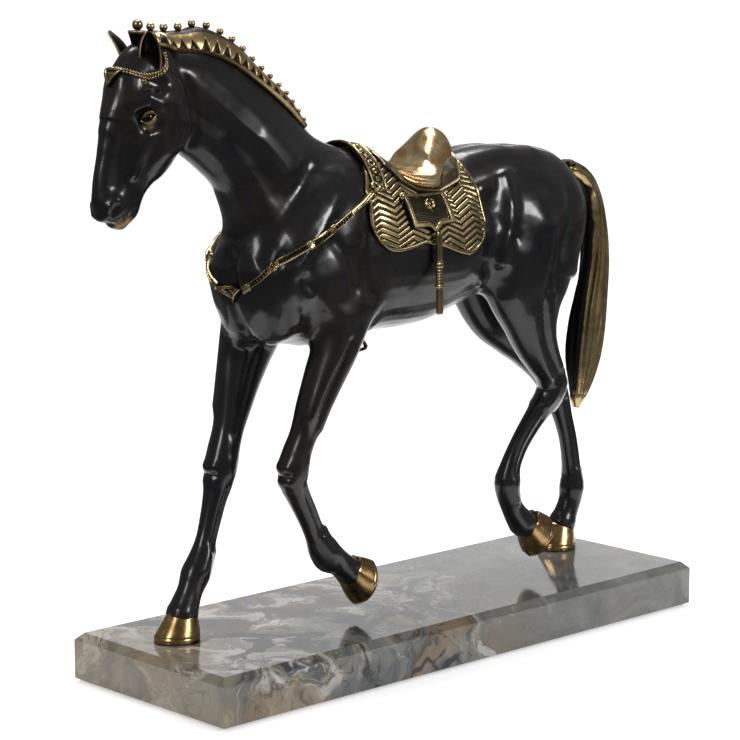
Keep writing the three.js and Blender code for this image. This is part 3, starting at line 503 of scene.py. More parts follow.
def cast_piece(name, low, high, step, cuts):
    """One casting: the clay in its block, relaxed, sawn off flat at each (point, away)
    cut and closed there."""
    points, quads = sculpt(low, high, step)
    made = bronze_object(name, points, quads)
    shape = bmesh.new()
    shape.from_mesh(made.data)
    bmesh.ops.smooth_vert(shape, verts=shape.verts, factor=0.5, use_axis_x=True,
                          use_axis_y=True, use_axis_z=True)
    for point, away in cuts:
        spot = (Vector(point) + Vector((0, 0, deck))) * mm
        found = bmesh.ops.bisect_plane(
            shape, geom=shape.verts[:] + shape.edges[:] + shape.faces[:], dist=1e-7,
            plane_co=spot, plane_no=Vector(away), clear_outer=True,
        )
        rim = [e for e in found["geom_cut"] if isinstance(e, bmesh.types.BMEdge)]
        for lid in bmesh.ops.holes_fill(shape, edges=rim, sides=0)["faces"]:
            for edge in lid.edges:
                edge.smooth = False
            lid.smooth = False
    for island in loose_parts(shape)[1:]:
        bmesh.ops.delete(shape, geom=island, context="VERTS")
    put_back(shape, made)
    return made


def loose_parts(shape):
    """The connected islands of a mesh as lists of vertices, the largest first."""
    seen, islands = set(), []
    for start in shape.verts:
        if start in seen:
            continue
        island, waiting = [], [start]
        seen.add(start)
        while waiting:
            vert = waiting.pop()
            island.append(vert)
            for edge in vert.link_edges:
                other = edge.other_vert(vert)
                if other not in seen:
                    seen.add(other)
                    waiting.append(other)
        islands.append(island)
    return sorted(islands, key=len, reverse=True)


# Where the castings were sawn and brazed: (point, direction of what is cut away).
poll = ((-186, 0, 322), (-1, 0, -0.3))
withers = ((-97, 0, 258), (-0.66, 0, 0.75))


def other_side(cut):
    point, away = cut
    return point, tuple(-v for v in away)


def under(height):
    return ((0, 0, height), (0, 0, -1))


def over(height):
    return ((0, 0, height), (0, 0, 1))


knife = 171  # height over the slab at which the four legs are sawn off the trunk
leg_top = knife + 8
castings = {  # the block of clay it is cut from, the fineness of the clay, its saw cuts
    "head": ((-245, -30, 240), (-172, 30, 372), 0.55, [other_side(poll)]),
    "neck": ((-205, -46, 208), (-44, 46, 372), 0.8, [poll, other_side(withers)]),
    "torso": ((-148, -58, 160), (170, 58, 302), 1.0, [withers, under(knife)]),
    "foreleg_left": ((-128, -52, 14), (-36, -2, leg_top), 0.65, [over(knife)]),
    "foreleg_right": ((-182, 2, 2), (-88, 52, leg_top), 0.65, [over(knife)]),
    "hindleg_left": ((56, -52, 20), (138, -2, leg_top), 0.65, [over(knife)]),
    "hindleg_right": ((66, 2, 2), (198, 52, leg_top), 0.65, [over(knife)]),
}

# The patina: black-brown, bluer in places, under a thin coat of wax, and rubbed warm round
# the eyes and along the lips.
def node_of(material, kind, **settings):
    node = material.node_tree.nodes.new(kind)
    for key, value in settings.items():
        if key in node.inputs:
            node.inputs[key].default_value = value
        else:
            setattr(node, key, value)
    return node


def wire(material, start, end):
    material.node_tree.links.new(start, end)


def cloudy(material, scale, detail=4.0, roughness=0.5, distortion=0.0, source=None):
    """A soft 3-D noise over the object, as a value from 0 to 1."""
    noise = node_of(material, "ShaderNodeTexNoise", Scale=scale, Detail=detail,
                    Roughness=roughness, Distortion=distortion)
    if source is None:
        source = node_of(material, "ShaderNodeTexCoord").outputs["Object"]
    wire(material, source, noise.inputs["Vector"])
    return noise.outputs["Fac"]


def ramp(material, value, *stops):
    """Colours at shares of a value."""
    made = node_of(material, "ShaderNodeValToRGB")
    while len(made.color_ramp.elements) < len(stops):
        made.color_ramp.elements.new(0.5)
    for element, (place, colour) in zip(made.color_ramp.elements, stops):
        element.position = place
        element.color = (*colour, 1)
    wire(material, value, made.inputs["Fac"])
    return made.outputs["Color"]


def blend_colours(material, share, a, b):
    mix = node_of(material, "ShaderNodeMix", data_type="RGBA")
    for socket, source in ((mix.inputs[0], share), (mix.inputs[6], a), (mix.inputs[7], b)):
        if isinstance(source, tuple):
            socket.default_value = (*source, 1)
        elif isinstance(source, (int, float)):
            socket.default_value = source
        else:
            wire(material, source, socket)
    return mix.outputs[2]


def remap(material, value, low, high, to_low=0.0, to_high=1.0):
    made = node_of(material, "ShaderNodeMapRange", interpolation_type="SMOOTHSTEP")
    for key, number in (("From Min", low), ("From Max", high),
                        ("To Min", to_low), ("To Max", to_high)):
        made.inputs[key].default_value = number
    wire(material, value, made.inputs["Value"])
    return made.outputs["Result"]


def near_point(material, places, radius):
    """1 at the nearest of some points of the object, fading to 0 at a radius in metres."""
    position = node_of(material, "ShaderNodeTexCoord").outputs["Object"]
    best = None
    for place in places:
        gap = node_of(material, "ShaderNodeVectorMath", operation="DISTANCE")
        wire(material, position, gap.inputs[0])
        gap.inputs[1].default_value = place
        found = remap(material, gap.outputs["Value"], 0.0, radius, 1.0, 0.0)
        if best is not None:
            larger = node_of(material, "ShaderNodeMath", operation="MAXIMUM")
            wire(material, best, larger.inputs[0])
            wire(material, found, larger.inputs[1])
            found = larger.outputs["Value"]
        best = found
    return best


def bumped(material, surface, value, depth, strength=1.0, after=None):
    bump = node_of(material, "ShaderNodeBump", Strength=strength, Distance=depth)
    wire(material, value, bump.inputs["Height"])
    if after is not None:
        wire(material, after, bump.inputs["Normal"])
    wire(material, bump.outputs["Normal"], surface.inputs["Normal"])
    return bump.outputs["Normal"]


def uneven_polish(material, surface, scale, detail, bright, dull, roughness=0.5):
    """A roughness that drifts over the piece between a bright and a dull value."""
    drift = cloudy(material, scale, detail, roughness)
    wire(material, remap(material, drift, 0.3, 0.7, bright, dull), surface.inputs["Roughness"])


def new_material(name, **sockets):
    material = bpy.data.materials.new(name)
    material.use_nodes = True
    surface = material.node_tree.nodes["Principled BSDF"]
    for key, value in sockets.items():
        surface.inputs[key.replace("_", " ")].default_value = value
    return material, surface


def black_patina(name, worn_places=(), worn_radius=0.01):
    material, surface = new_material(name, Metallic=0.2, Coat_Weight=0.35, Coat_Roughness=0.13,
                                     Specular_IOR_Level=0.42)
    tone = ramp(material, cloudy(material, 17, 3, 0.55, 0.4),
                (0.3, (0.0050, 0.0056, 0.0078)), (0.5, (0.0075, 0.0066, 0.0078)),
                (0.66, (0.0150, 0.0100, 0.0066)))
    if worn_places:
        share = near_point(material, worn_places, worn_radius)
        tone = blend_colours(material, share, tone, (0.34, 0.21, 0.08))
    wire(material, tone, surface.inputs["Base Color"])
    uneven_polish(material, surface, 60, 5, 0.22, 0.36, 0.6)
    fine = bumped(material, surface, cloudy(material, 1500, 3), 0.00002, 0.25)
    bumped(material, surface, cloudy(material, 130, 3), 0.00025, 0.22, fine)
    return material


def in_metres(x, y, z):
    return (x * mm, y * mm, (z + deck) * mm)


trunk_patina = black_patina("black_patina")
rubbed = [(-208.5, 16, 310)] + [(-219 - 4 * k, 8 - 1.6 * k, 255 - 1.6 * k) for k in range(4)]
face_spots = [in_metres(x, side * y, z) for x, y, z in rubbed for side in (LEFT, RIGHT)]
face_patina = black_patina("black_patina_face", face_spots, 0.0052)

horse = {}
for name, (low, high, step, cuts) in castings.items():
    made = cast_piece("casting_" + name, low, high, step, cuts)
    made.data.materials.append(face_patina if name == "head" else trunk_patina)
    horse[name] = made
    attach(made, "root")
    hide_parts(name)

# ---------------------------------------------------------------------------------------
# The hooves: cast with the legs and polished back to bright bronze. Each has a shoe with a
# groove over it, a wall that narrows upward, a ridge down the toe and two heel bulbs.
def soft_ridge(gap, width):
    """A rounded ridge of height 1, over the distance from its middle line."""
    return np.exp(-((gap / width) ** 2))


def polished_bronze(name, colour, deep, roughness):
    material, surface = new_material(name, Metallic=1.0, Coat_Weight=0.25, Coat_Roughness=0.08)
    tone = blend_colours(material, remap(material, cloudy(material, 70, 4, 0.55, 0.8), 0.35, 0.7),
                         colour, deep)
    recess = node_of(material, "ShaderNodeAttribute", attribute_name="raised")
    tone = blend_colours(material, remap(material, recess.outputs["Fac"], 0.0, 0.55),
                         (0.035, 0.024, 0.012), tone)
    wire(material, tone, surface.inputs["Base Color"])
    uneven_polish(material, surface, 240, 4, roughness, roughness + 0.1)
    bumped(material, surface, cloudy(material, 420, 3), 0.00008, 0.2)
    return material


def mark_raised(made, values):
    """How far each point stands out of the dark ground, for the finish to read."""
    raised = made.data.attributes.new("raised", "FLOAT", "POINT")
    raised.data.foreach_set("value", np.asarray(values, np.float32).ravel())


def finish_piece(made, slot, material, *stands_for):
    made.data.materials.append(material)
    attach(made, "root")
    if stands_for:
        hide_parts(*stands_for)


amber = polished_bronze("polished_hoof", (0.42, 0.285, 0.125), (0.22, 0.125, 0.045), 0.2)
hoof_rows = [  # height over the sole, how far back, half length, half width, how bright
    (1.4, 0.0, 8.5, 7.5, 0), (1.2, 0.0, 10.8, 9.6, 0.1), (0.1, 0.0, 11.6, 10.4, 0.6),
    (0.0, 0.0, 14.2, 12.7, 1), (0.5, 0.0, 14.8, 13.3, 1), (2.7, 0.2, 14.7, 13.2, 1),
    (3.1, 0.35, 14.3, 12.8, 0.1), (3.6, 0.5, 14.4, 12.9, 0.6), (4.4, 0.8, 14.1, 12.6, 1),
    (6.5, 1.6, 13.2, 11.9, 1), (9.0, 2.6, 12.1, 11.1, 1), (11.6, 3.6, 11.0, 10.2, 1),
    (13.2, 4.2, 10.3, 9.6, 1), (14.4, 4.6, 9.7, 9.2, 0.9), (15.2, 4.8, 9.0, 8.6, 0.8),
    (15.3, 4.8, 8.4, 8.0, 0.4), (14.8, 4.6, 7.6, 7.2, 0.0),
]
hoof_height, heel_drop, wall_foot = 14.5, 3.2, 4  # the wall stands on the shoe at wall_foot
hoof_places = {  # the middle of the sole and how far the hoof is tipped on to its toe
    "hoof_front_left": ((-47.5, -17, 20.5), 68), "hoof_front_right": ((-170.5, 13.5, 0), 0),
    "hoof_hind_left": ((111.5, -17, 24), 61), "hoof_hind_right": ((169, 19, 0), 0),
}
hoof_around = 96
turn = np.linspace(0, 2 * np.pi, hoof_around, endpoint=False)
to_heel = np.cos(turn)
bulbs = 1 - 0.12 * soft_ridge(np.minimum(turn, 2 * np.pi - turn), 0.22)
toe_ridge = 1 + 0.045 * soft_ridge(turn - np.pi, 0.13)
for name, (sole, tip) in hoof_places.items():
    points, bright = [], []
    for height, back, half_length, half_width, shine in hoof_rows:
        narrow = np.where(to_heel > 0, 1 - 0.16 * to_heel, 1)
        ripple = 0.07 * math.sin(height * 3.1) if height > wall_foot else 0
        points += list(np.stack([
            to_heel * (half_length + ripple) * bulbs * toe_ridge + back,
            np.sin(turn) * (half_width + ripple) * narrow,
            height - height / hoof_height * heel_drop * to_heel,
        ], -1))
        bright += [shine] * hoof_around
    sole_middle, top_middle = np.array([0, 0, 1.5]), np.array([3.4, 0, 13])
    points += [sole_middle, top_middle]
    lean = math.radians(tip)
    tipping = np.array([[math.cos(lean), 0, math.sin(lean)], [0, 1, 0],
                        [-math.sin(lean), 0, math.cos(lean)]])
    turned = np.array(points) @ tipping
    made = bronze_object("bright_" + name, turned + sole,
                         tube_triangles(len(hoof_rows), hoof_around)[:, ::-1])
    mark_raised(made, bright + [0.1, 0.0])
    finish_piece(made, "polished_hoof", amber, name)

# ---------------------------------------------------------------------------------------
# The tail: one heavy casting of long locks, gilt on its outer face and left dark in the
# deep lines between the locks. It is pinned into the croup and hangs clear of the thighs.
def antique_gold(name, bright=(0.43, 0.335, 0.175), dark=(0.022, 0.016, 0.009), roughness=0.27):
    material, surface = new_material(name, Metallic=1.0, Coat_Weight=0.12, Coat_Roughness=0.15)
    tone = blend_colours(material, remap(material, cloudy(material, 90, 5, 0.6, 0.6), 0.35, 0.68),
                         bright, tuple(0.62 * v for v in bright))
    raised = node_of(material, "ShaderNodeAttribute", attribute_name="raised").outputs["Fac"]
    rubbed = node_of(material, "ShaderNodeMath", operation="MULTIPLY_ADD")
    wire(material, cloudy(material, 300, 4), rubbed.inputs[0])
    rubbed.inputs[1].default_value = 0.35
    wire(material, raised, rubbed.inputs[2])
    shown = remap(material, rubbed.outputs["Value"], 0.38, 0.82)
    wire(material, blend_colours(material, shown, dark, tone), surface.inputs["Base Color"])
    wire(material, remap(material, shown, 0, 1, 0.52, roughness), surface.inputs["Roughness"])
    bumped(material, surface, cloudy(material, 520, 4), 0.00012, 0.3)
    return material


gold = antique_gold("antique_gold")
tail_line = [
    (144, 0, 263, 5, 4.5), (152, 0, 264.5, 6.2, 5.6), (162, 0, 261.5, 7, 6.6),
    (171, 0, 254.5, 7.4, 7.2), (177.3, 0, 243, 7.6, 7.6), (181.4, 0, 224, 7.8, 9),
    (182.4, 0, 200, 8.2, 11), (179.6, 0, 176, 8.4, 13.8), (176.2, 0, 156, 8.6, 16),
    (173, 0, 138, 8.2, 15.6), (169.8, 0, 121, 6.6, 11.6), (167.4, 0, 108, 4.4, 6.2), (166.2, 0, 101, 2, 2.2),
]
tail_clay = Clay((136, -14, 96), (204, 14, 276), 0.55)
tail_around = 40
tail_clay.limb(oval_limb(tail_line, around=tail_around), tail_around, 2)
tail_centre = smooth_line(tail_line, 42)
tail_along = unit(np.gradient(tail_centre[:, :3], axis=0))
tail_out = np.stack([tail_along[:, 2], 0 * tail_along[:, 0], -tail_along[:, 0]], -1)
tail_out *= np.sign(tail_out[:, :1] + 1e-9)


def down_tail(angle):
    """A line down the tail's surface, at an angle round it from its outer face."""
    return (tail_centre[:, :3]
            + tail_out * (tail_centre[:, 4] * np.cos(angle))[:, None]
            + np.array([0, 1, 0]) * (tail_centre[:, 3] * np.sin(angle))[:, None])


lock_rng = np.random.default_rng(11)
lock_count = 15
half_lock = 2 * np.pi * 0.5 / lock_count
for k in range(lock_count):
    start = 2 * np.pi * (k + 0.3 * lock_rng.random()) / lock_count
    swing = 0.28 * (lock_rng.random() - 0.5)
    phase = lock_rng.random() * 6
    share = np.linspace(0, 1, len(tail_centre))
    angle = start + swing * share * 3 + 0.10 * np.sin(share * 7 + phase)
    groove, crown = down_tail(angle), down_tail(angle + half_lock)
    tail_clay.stroke(groove[1:-1:2], 1.5, -1.45)
    tail_clay.stroke(crown[1:-1:2], 1.7, 0.8)
    tail_clay.stroke((crown + (groove - crown) * 0.45)[3:-1:2], 0.7, -0.4)


def hollows(made, reach=6, scale=0.9):
    """How far each point stands out among its neighbours, from 0 in a groove to 1."""
    mesh = made.data
    count = len(mesh.vertices)
    place = np.empty(count * 3, np.float32)
    mesh.vertices.foreach_get("co", place)
    place = place.reshape(-1, 3) / mm
    facing = np.empty(count * 3, np.float32)
    mesh.vertex_normals.foreach_get("vector", facing)
    facing = facing.reshape(-1, 3)
    edges = np.empty(len(mesh.edges) * 2, np.int64)
    mesh.edges.foreach_get("vertices", edges)
    a, b = edges.reshape(-1, 2).T
    degree = np.bincount(np.concatenate([a, b]), minlength=count)[:, None]
    soft = place.copy()
    for _ in range(reach):
        total = np.zeros_like(soft)
        np.add.at(total, a, soft[b])
        np.add.at(total, b, soft[a])
        soft = total / np.maximum(degree, 1)
    stand = ((place - soft) * facing).sum(1)
    return np.clip(0.55 + stand / scale, 0, 1)


points, quads = tail_clay.surface()
made = bronze_object("gilt_tail", points, quads)
stand = 0.3 + 0.8 * hollows(made, 10, 1.0)
dark_to = np.interp(points[:, 2], [100, 138, 176, 200, 224, 250, 263],
                    [161, 164.5, 170.5, 175.5, 177, 172, 150])  # the inner face stays dark to here
inner = np.clip((points[:, 0] - dark_to) / 4 + 0.55, 0, 1)
crown = np.clip((points[:, 2] - 252) / 12, 0, 1) * 0.25
mark_raised(made, np.clip(stand * inner - crown, 0, 1))
tail_gold = antique_gold("tail_gold", (0.62, 0.47, 0.235), (0.010, 0.009, 0.008), 0.24)
finish_piece(made, "gold_bronze", tail_gold, "tail")

# ---------------------------------------------------------------------------------------
# The ears: thin cupped leaves, dark within, their rims rubbed to gold. They are cast on the
# head and stand out to the sides.
def sheet_mesh(name, inner_side, outer_side, raised, inner_raised=0):
    """A closed slab between two grids of points, with raised marked on each side of it."""
    rows, columns = inner_side.shape[:2]
    count = rows * columns
    i, j = np.meshgrid(np.arange(rows - 1), np.arange(columns - 1), indexing="ij")
    a = (i * columns + j).ravel()
    faces = [np.stack([a, a + 1, a + columns + 1, a + columns], -1)]
    faces.append(faces[0][:, ::-1] + count)
    rim = np.concatenate([
        np.arange(columns), np.arange(1, rows) * columns + columns - 1,
        (rows - 1) * columns + np.arange(columns - 2, -1, -1), np.arange(rows - 2, 0, -1) * columns,
    ])
    after = np.roll(rim, -1)
    faces.append(np.stack([rim, rim + count, after + count, after], -1))
    points = np.concatenate([outer_side.reshape(-1, 3), inner_side.reshape(-1, 3)])
    made = bronze_object(name, points, np.concatenate(faces))
    turn_outward(made)
    mark_raised(made, np.concatenate([raised.ravel(), (inner_raised + 0 * raised).ravel()]))
    return made


ear_patina = antique_gold("ear_bronze", (0.50, 0.37, 0.19), (0.013, 0.012, 0.012), 0.3)
ear_line = [  # up the middle of the ear: place, half width, how deep it is cupped
    (-203.5, 9.5, 336, 4.2, 3.6), (-204.6, 11.2, 342, 5.3, 4.6), (-206, 13.2, 347.5, 5.6, 4.6),
    (-207.6, 15.2, 352.5, 5.0, 3.8), (-209.6, 17.2, 357, 3.6, 2.4), (-211, 18.8, 360.6, 1.4, 0.8),
]
ear_rows = 40
across = np.linspace(-1, 1, 33)
bend = across * 1.75  # how far the leaf curls round, in radians
wall = 0.75 + 0.5 * np.abs(across) ** 6
gilt_rim = np.clip(np.abs(across)[None, :] ** 10 + 0.25 * np.linspace(0, 1, ear_rows)[:, None] ** 3, 0, 1)
gilt_within = np.clip(np.abs(across)[None, :] ** 7 * 1.1, 0, 1)
for word, side in both_sides:
    line = smooth_line(ear_line, ear_rows)
    facing = unit(np.array([-0.78, side * 0.62, 0.05]))  # where the ear's opening looks
    along = unit(np.gradient(line[:, :3] * (1, side, 1), axis=0))
    sideways = unit(np.cross(along, facing))
    back = -np.cross(sideways, along)
    back *= -np.sign((back @ facing))[:, None]
    centre = line[:, None, :3] * (1, side, 1)
    wide, deep = line[:, 3, None, None], line[:, 4, None, None]
    curl_across = sideways[:, None] * np.sin(bend)[None, :, None]
    curl_back = back[:, None] * np.cos(bend)[None, :, None]
    cup = (centre + sideways[:, None] * wide * np.sin(bend)[None, :, None]
           + back[:, None] * deep * np.cos(bend)[None, :, None])
    outside = cup + (curl_across + curl_back) * wall[None, :, None]
    made = sheet_mesh(f"cupped_ear_{word}", cup, outside, gilt_rim, gilt_within)
    finish_piece(made, "dark_bronze", ear_patina, f"ear_{word}")

# ---------------------------------------------------------------------------------------
# The eyes: dark polished balls set in the sockets, with a thin brightened lid over and under.
eye_patina = polished_bronze("eye_bronze", (0.05, 0.032, 0.016), (0.02, 0.014, 0.01), 0.12)
lid_gold = antique_gold("lid_gold", (0.50, 0.34, 0.14), (0.02, 0.015, 0.01), 0.3)
eye_radius, lid_reach, lid_rings, lid_around = 3.6, 4.6, 40, 14
for word, side in both_sides:
    middle = np.array([-209.5, side * 14.6, 313.6])
    ball = bmesh.new()
    bmesh.ops.create_uvsphere(ball, u_segments=48, v_segments=32, radius=eye_radius)
    points = np.array([v.co for v in ball.verts])
    faces = [[v.index for v in f.verts] for f in ball.faces]
    ball.free()
    made = bronze_object(f"eyeball_{word}", points + middle, faces)
    mark_raised(made, np.ones(len(points)))
    finish_piece(made, "gold_bronze", eye_patina, f"eye_{word}")
    for lid, lift_up, drop, thickness in (("upper", 1, 3.1, 1.0), ("lower", -1, 2.5, 0.75)):
        share = np.linspace(-1, 1, 15)
        outward = unit(np.array([-0.42, side * 0.9, 0.0]))
        forward = unit(np.array([-0.9, -side * 0.42, -0.25]))
        arch = (middle + forward * (share * lid_reach)[:, None]
                + np.array([0, 0, 1]) * (lift_up * drop * (1 - share**2) - 0.4 * share)[:, None]
                + outward * (eye_radius * 0.82 * np.sqrt(1 - 0.62 * share**2))[:, None])
        size = thickness * (1 - 0.7 * share**2)
        stations = [(*p, s, s) for p, s in zip(arch, size)]
        points = oval_limb(stations, rings=lid_rings, around=lid_around)
        made = bronze_object(f"{lid}_lid_{word}", points, tube_triangles(lid_rings, lid_around)[:, ::-1])
        mark_raised(made, np.full(len(points), 0.35 if lid == "upper" else 0.75))
        finish_piece(made, "dark_bronze", lid_gold)

# ---------------------------------------------------------------------------------------
# The forelock: hair drawn up into a fluted, flaring tuft over the forehead and tied off
# with a bright ball.
def turned_piece(name, axis_foot, axis_up, profile, around, flutes=0, flute_depth=0.0):
    """A turned shape: profile gives (height, radius, bright) along the axis."""
    up = unit(np.array(axis_up, float))
    side = unit(np.cross(up, (0, 1, 0.01)))
    other = np.cross(up, side)
    angle = np.linspace(0, 2 * np.pi, around, endpoint=False)
    wave = 1 - flute_depth * (0.5 - 0.5 * np.cos(flutes * angle)) if flutes else 1 + 0 * angle
    rows = [
        np.array(axis_foot) + up * height
        + (side * np.cos(angle)[:, None] + other * np.sin(angle)[:, None]) * (radius * wave)[:, None]
        for height, radius, _ in profile
    ]
    foot, tip = (np.array(axis_foot) + up * profile[end][0] for end in (0, -1))
    points = np.concatenate([*rows, [foot], [tip]])
    made = bronze_object(name, points, tube_triangles(len(profile), around)[:, ::-1])
    bright = np.concatenate([b * (0.75 + 0.25 * wave / wave.max()) for _, _, b in profile]
                            + [[profile[0][2], profile[-1][2]]])
    mark_raised(made, bright)
    turn_outward(made)
    return made


def ball_profile(foot, radius, neck):
    """Heights, radii and brightness of a ball on a short neck."""
    low, neck_height = 1.15, 0.35
    arc = np.linspace(-low, math.pi / 2 - 0.03, 14)
    middle = foot + neck_height + radius * math.sin(low)
    rows = [(foot, neck * 1.25, 0.2), (foot + neck_height, neck, 0.05)]
    rows += [(middle + radius * math.sin(a), radius * math.cos(a),
              0.15 + 0.85 * np.clip((a + 1.0) / 0.8, 0, 1)) for a in arc]
    return rows


tuft_profile = [
    (-6, 1.6, 0), (-3, 2.8, 0.05), (-0.5, 3.4, 0.1), (1, 2.9, 0.2), (3, 2.9, 0.1), (6, 3.4, 0.1),
    (9, 4.3, 0.12), (12, 5.3, 0.15), (13.4, 5.8, 0.6), (14, 5.6, 0.5), (14.4, 4.4, 0.15), (14.3, 2.4, 0.1),
]
tuft = turned_piece("fluted_forelock", (-204.8, 0, 347.2), (0.04, 0, 1), tuft_profile,
                    around=96, flutes=14, flute_depth=0.16)
finish_piece(tuft, "dark_bronze", ear_patina, "forelock")
top_ball = turned_piece("forelock_ball", (-204.4, 0, 361.3), (0.02, 0, 1),
                        ball_profile(0, 3.1, 1.9), around=40)
finish_piece(top_ball, "gold_bronze", gold)

# ---------------------------------------------------------------------------------------
# The plaited mane: a gilt strip laid over the crest of the neck, cut with a row of pointed
# hollows along each edge, and a row of plait knobs along the top.
skin_points, skin_faces = [], []
for made in horse.values():
    start = sum(len(p) for p in skin_points)
    skin_points.append(np.array([v.co for v in made.data.vertices]) / mm - (0, 0, deck))
    skin_faces += [[start + v for v in f.vertices] for f in made.data.polygons if len(f.vertices) < 9]
skin = BVHTree.FromPolygons(np.concatenate(skin_points).tolist(), skin_faces)


def on_skin(targets, middles, reach=3.0):
    """The outer skin between a middle and a target beyond it, for grids of points."""
    targets = np.asarray(targets, float)
    flat = targets.reshape(-1, 3)
    cores = np.broadcast_to(middles, targets.shape).reshape(-1, 3)
    found = flat.copy()
    for k, (target, core) in enumerate(zip(flat, cores)):
        outward = target - core
        hit = skin.ray_cast(Vector(core + outward * reach), Vector(-outward))
        if hit[0] is not None:
            found[k] = hit[0]
    return found.reshape(targets.shape)


def grid_facing(grid, cores, soften):
    """Outward directions over a grid of skin points, averaged so that relief stays calm."""
    facing = unit(np.cross(np.gradient(grid, axis=0), np.gradient(grid, axis=1)))
    flip = np.sign((facing * (grid - cores)).sum(-1, keepdims=True))
    facing *= np.where(flip == 0, 1, flip)
    for _ in range(soften):
        facing = unit(facing + np.roll(facing, 1, 0) + np.roll(facing, -1, 0)
                      + np.roll(facing, 1, 1) + np.roll(facing, -1, 1))
    # rolling wraps the ends round, so the outer rows keep the direction of the next row in
    facing[[0, -1]] = facing[[soften, -1 - soften]]
    facing[:, [0, -1]] = facing[:, [1, -2]]
    return facing


def relief(name, grid, cores, height, raised, low, base, calm=3):
    """A cast plate on the skin: it runs from low over the skin up to base plus the relief."""
    facing = grid_facing(grid, cores, calm)
    under_side = grid + facing * np.asarray(low)[..., None]
    return sheet_mesh(name, under_side, grid + facing * (base + height)[..., None], raised)


def soft_step(values, low, high):
    t = np.clip((values - low) / (high - low), 0, 1)
    return t * t * (3 - 2 * t)


crest_line = [  # points inside the neck, and how far down each side the strip reaches
    (-197.5, 0, 345, 10.4), (-178.5, 0, 344, 11), (-156, 0, 340, 10.8), (-134, 0, 330.5, 10.2),
    (-116, 0, 318.5, 9.6), (-104, 0, 308, 8.6), (-96, 0, 300.8, 7.4), (-89.5, 0, 294.8, 5.8),
]
strip_rows, strip_columns = 330, 61
crest = smooth_line(crest_line, strip_rows)
crest_along = unit(np.gradient(crest[:, :3], axis=0))
crest_up = np.stack([-crest_along[:, 2], 0 * crest_along[:, 0], crest_along[:, 0]], -1)
across = np.linspace(-1, 1, strip_columns)
fan = np.clip(crest[:, 3] / 11.5, 0, 1.6)[:, None] * across[None, :]  # angle down from the top
ray = crest_up[:, None] * np.cos(fan)[..., None] + np.array([0, 1, 0]) * np.sin(fan)[..., None]
cores = np.repeat(crest[:, None, :3], strip_columns, 1)
strip = on_skin(cores + ray * 12, cores)
length = np.concatenate([[0], np.cumsum(np.linalg.norm(np.diff(crest[:, :3], axis=0), axis=1))])
hollow_count, rail = 17, 0.9
beat = (length / length[-1] * hollow_count) % 1.0
from_edge = (1 - np.abs(across)) * crest[:, 3:4]
point_height = 7.0 * (crest[:, 3:4] / 11)
triangle_half = 0.40 * np.clip(1 - (from_edge - rail) / point_height, 0, 1)
inside = (triangle_half - np.abs(beat[:, None] - 0.5)) * length[-1] / hollow_count
inside = np.where((from_edge > rail) & (from_edge < rail + point_height), inside, -1)
pit = soft_step(inside, -0.15, 0.5)
ridge = soft_ridge(inside, 0.32) * (inside > -0.9)
core_bead = soft_step(inside, 1.05, 1.5) * 0.55
edge_round = np.sqrt(1 - (1 - np.clip(from_edge / 1.2, 0, 1)) ** 2)
height = 1.15 * edge_round - 1.1 * pit + 0.3 * ridge + 0.4 * core_bead
spine = soft_ridge(across[None, :] * crest[:, 3:4], 1.7)
stand = np.interp(length / length[-1], [0, 0.12, 0.5, 0.85, 1], [3.4, 3.6, 4.8, 3.6, 0.8])[:, None]
height = height + 0.5 * spine + stand * (1 - 0.45 * np.abs(across[None, :]) ** 2)
spine_dark = np.exp(-((across[None, :] * crest[:, 3:4] / 2.6) ** 4))
raised = np.clip(0.9 - 1.1 * pit + 0.6 * core_bead + 0.2 * ridge - 0.9 * spine_dark, 0, 1)
made = relief("gilt_mane_strip", strip, cores, height, raised, -0.6, 0.7)
mane_gold = antique_gold("mane_gold", (0.53, 0.38, 0.19), (0.016, 0.013, 0.010), 0.33)
finish_piece(made, "gold_bronze", mane_gold, "mane_crest")

knob_count = 16
spacing = np.linspace(10.3, 7.3, knob_count)
knob_at = 1.5 + np.concatenate([[0], np.cumsum(spacing)[:-1]])
knob_at *= (length[-1] - 1.0) / knob_at[-1]
for k, reach in enumerate(knob_at):
    row = min(int(np.searchsorted(length, reach)), strip_rows - 1)
    foot = strip[row, strip_columns // 2] + crest_up[row] * (1.9 + stand[row, 0])
    size = 2.45 - 1.0 * k / (knob_count - 1)
    knob = turned_piece(f"plait_knob_{k + 1:02d}", foot, crest_up[row],
                        ball_profile(0, size, size * 0.62), 28)
    finish_piece(knob, "gold_bronze", mane_gold)

# ---------------------------------------------------------------------------------------
# The browband: a double string of cast beads from ear to ear across the forehead, with a
# pendant bead under each brow and a three-cornered plaque in the middle.
def skin_ribbon(route, cores_at, half_width, rows, columns):
    """A ribbon of skin points along a route, with its core points and length in mm."""
    line = smooth_line(route, rows)
    core = np.broadcast_to(np.asarray(cores_at, float), line.shape)
    middle = on_skin(line, core)
    for _ in range(4):
        middle[1:-1] = (middle[:-2] + 2 * middle[1:-1] + middle[2:]) / 4
    out = unit(middle - core)
    along = unit(np.gradient(middle, axis=0))
    sideways = unit(np.cross(along, out))
    across = np.linspace(-half_width, half_width, columns)
    grid = middle[:, None] + sideways[:, None] * across[None, :, None]
    cores_grid = np.repeat(core[:, None], columns, 1)
    grid = on_skin(grid, cores_grid)
    reach = np.concatenate([[0], np.cumsum(np.linalg.norm(np.diff(middle, axis=0), axis=1))])
    return grid, cores_grid, reach, across


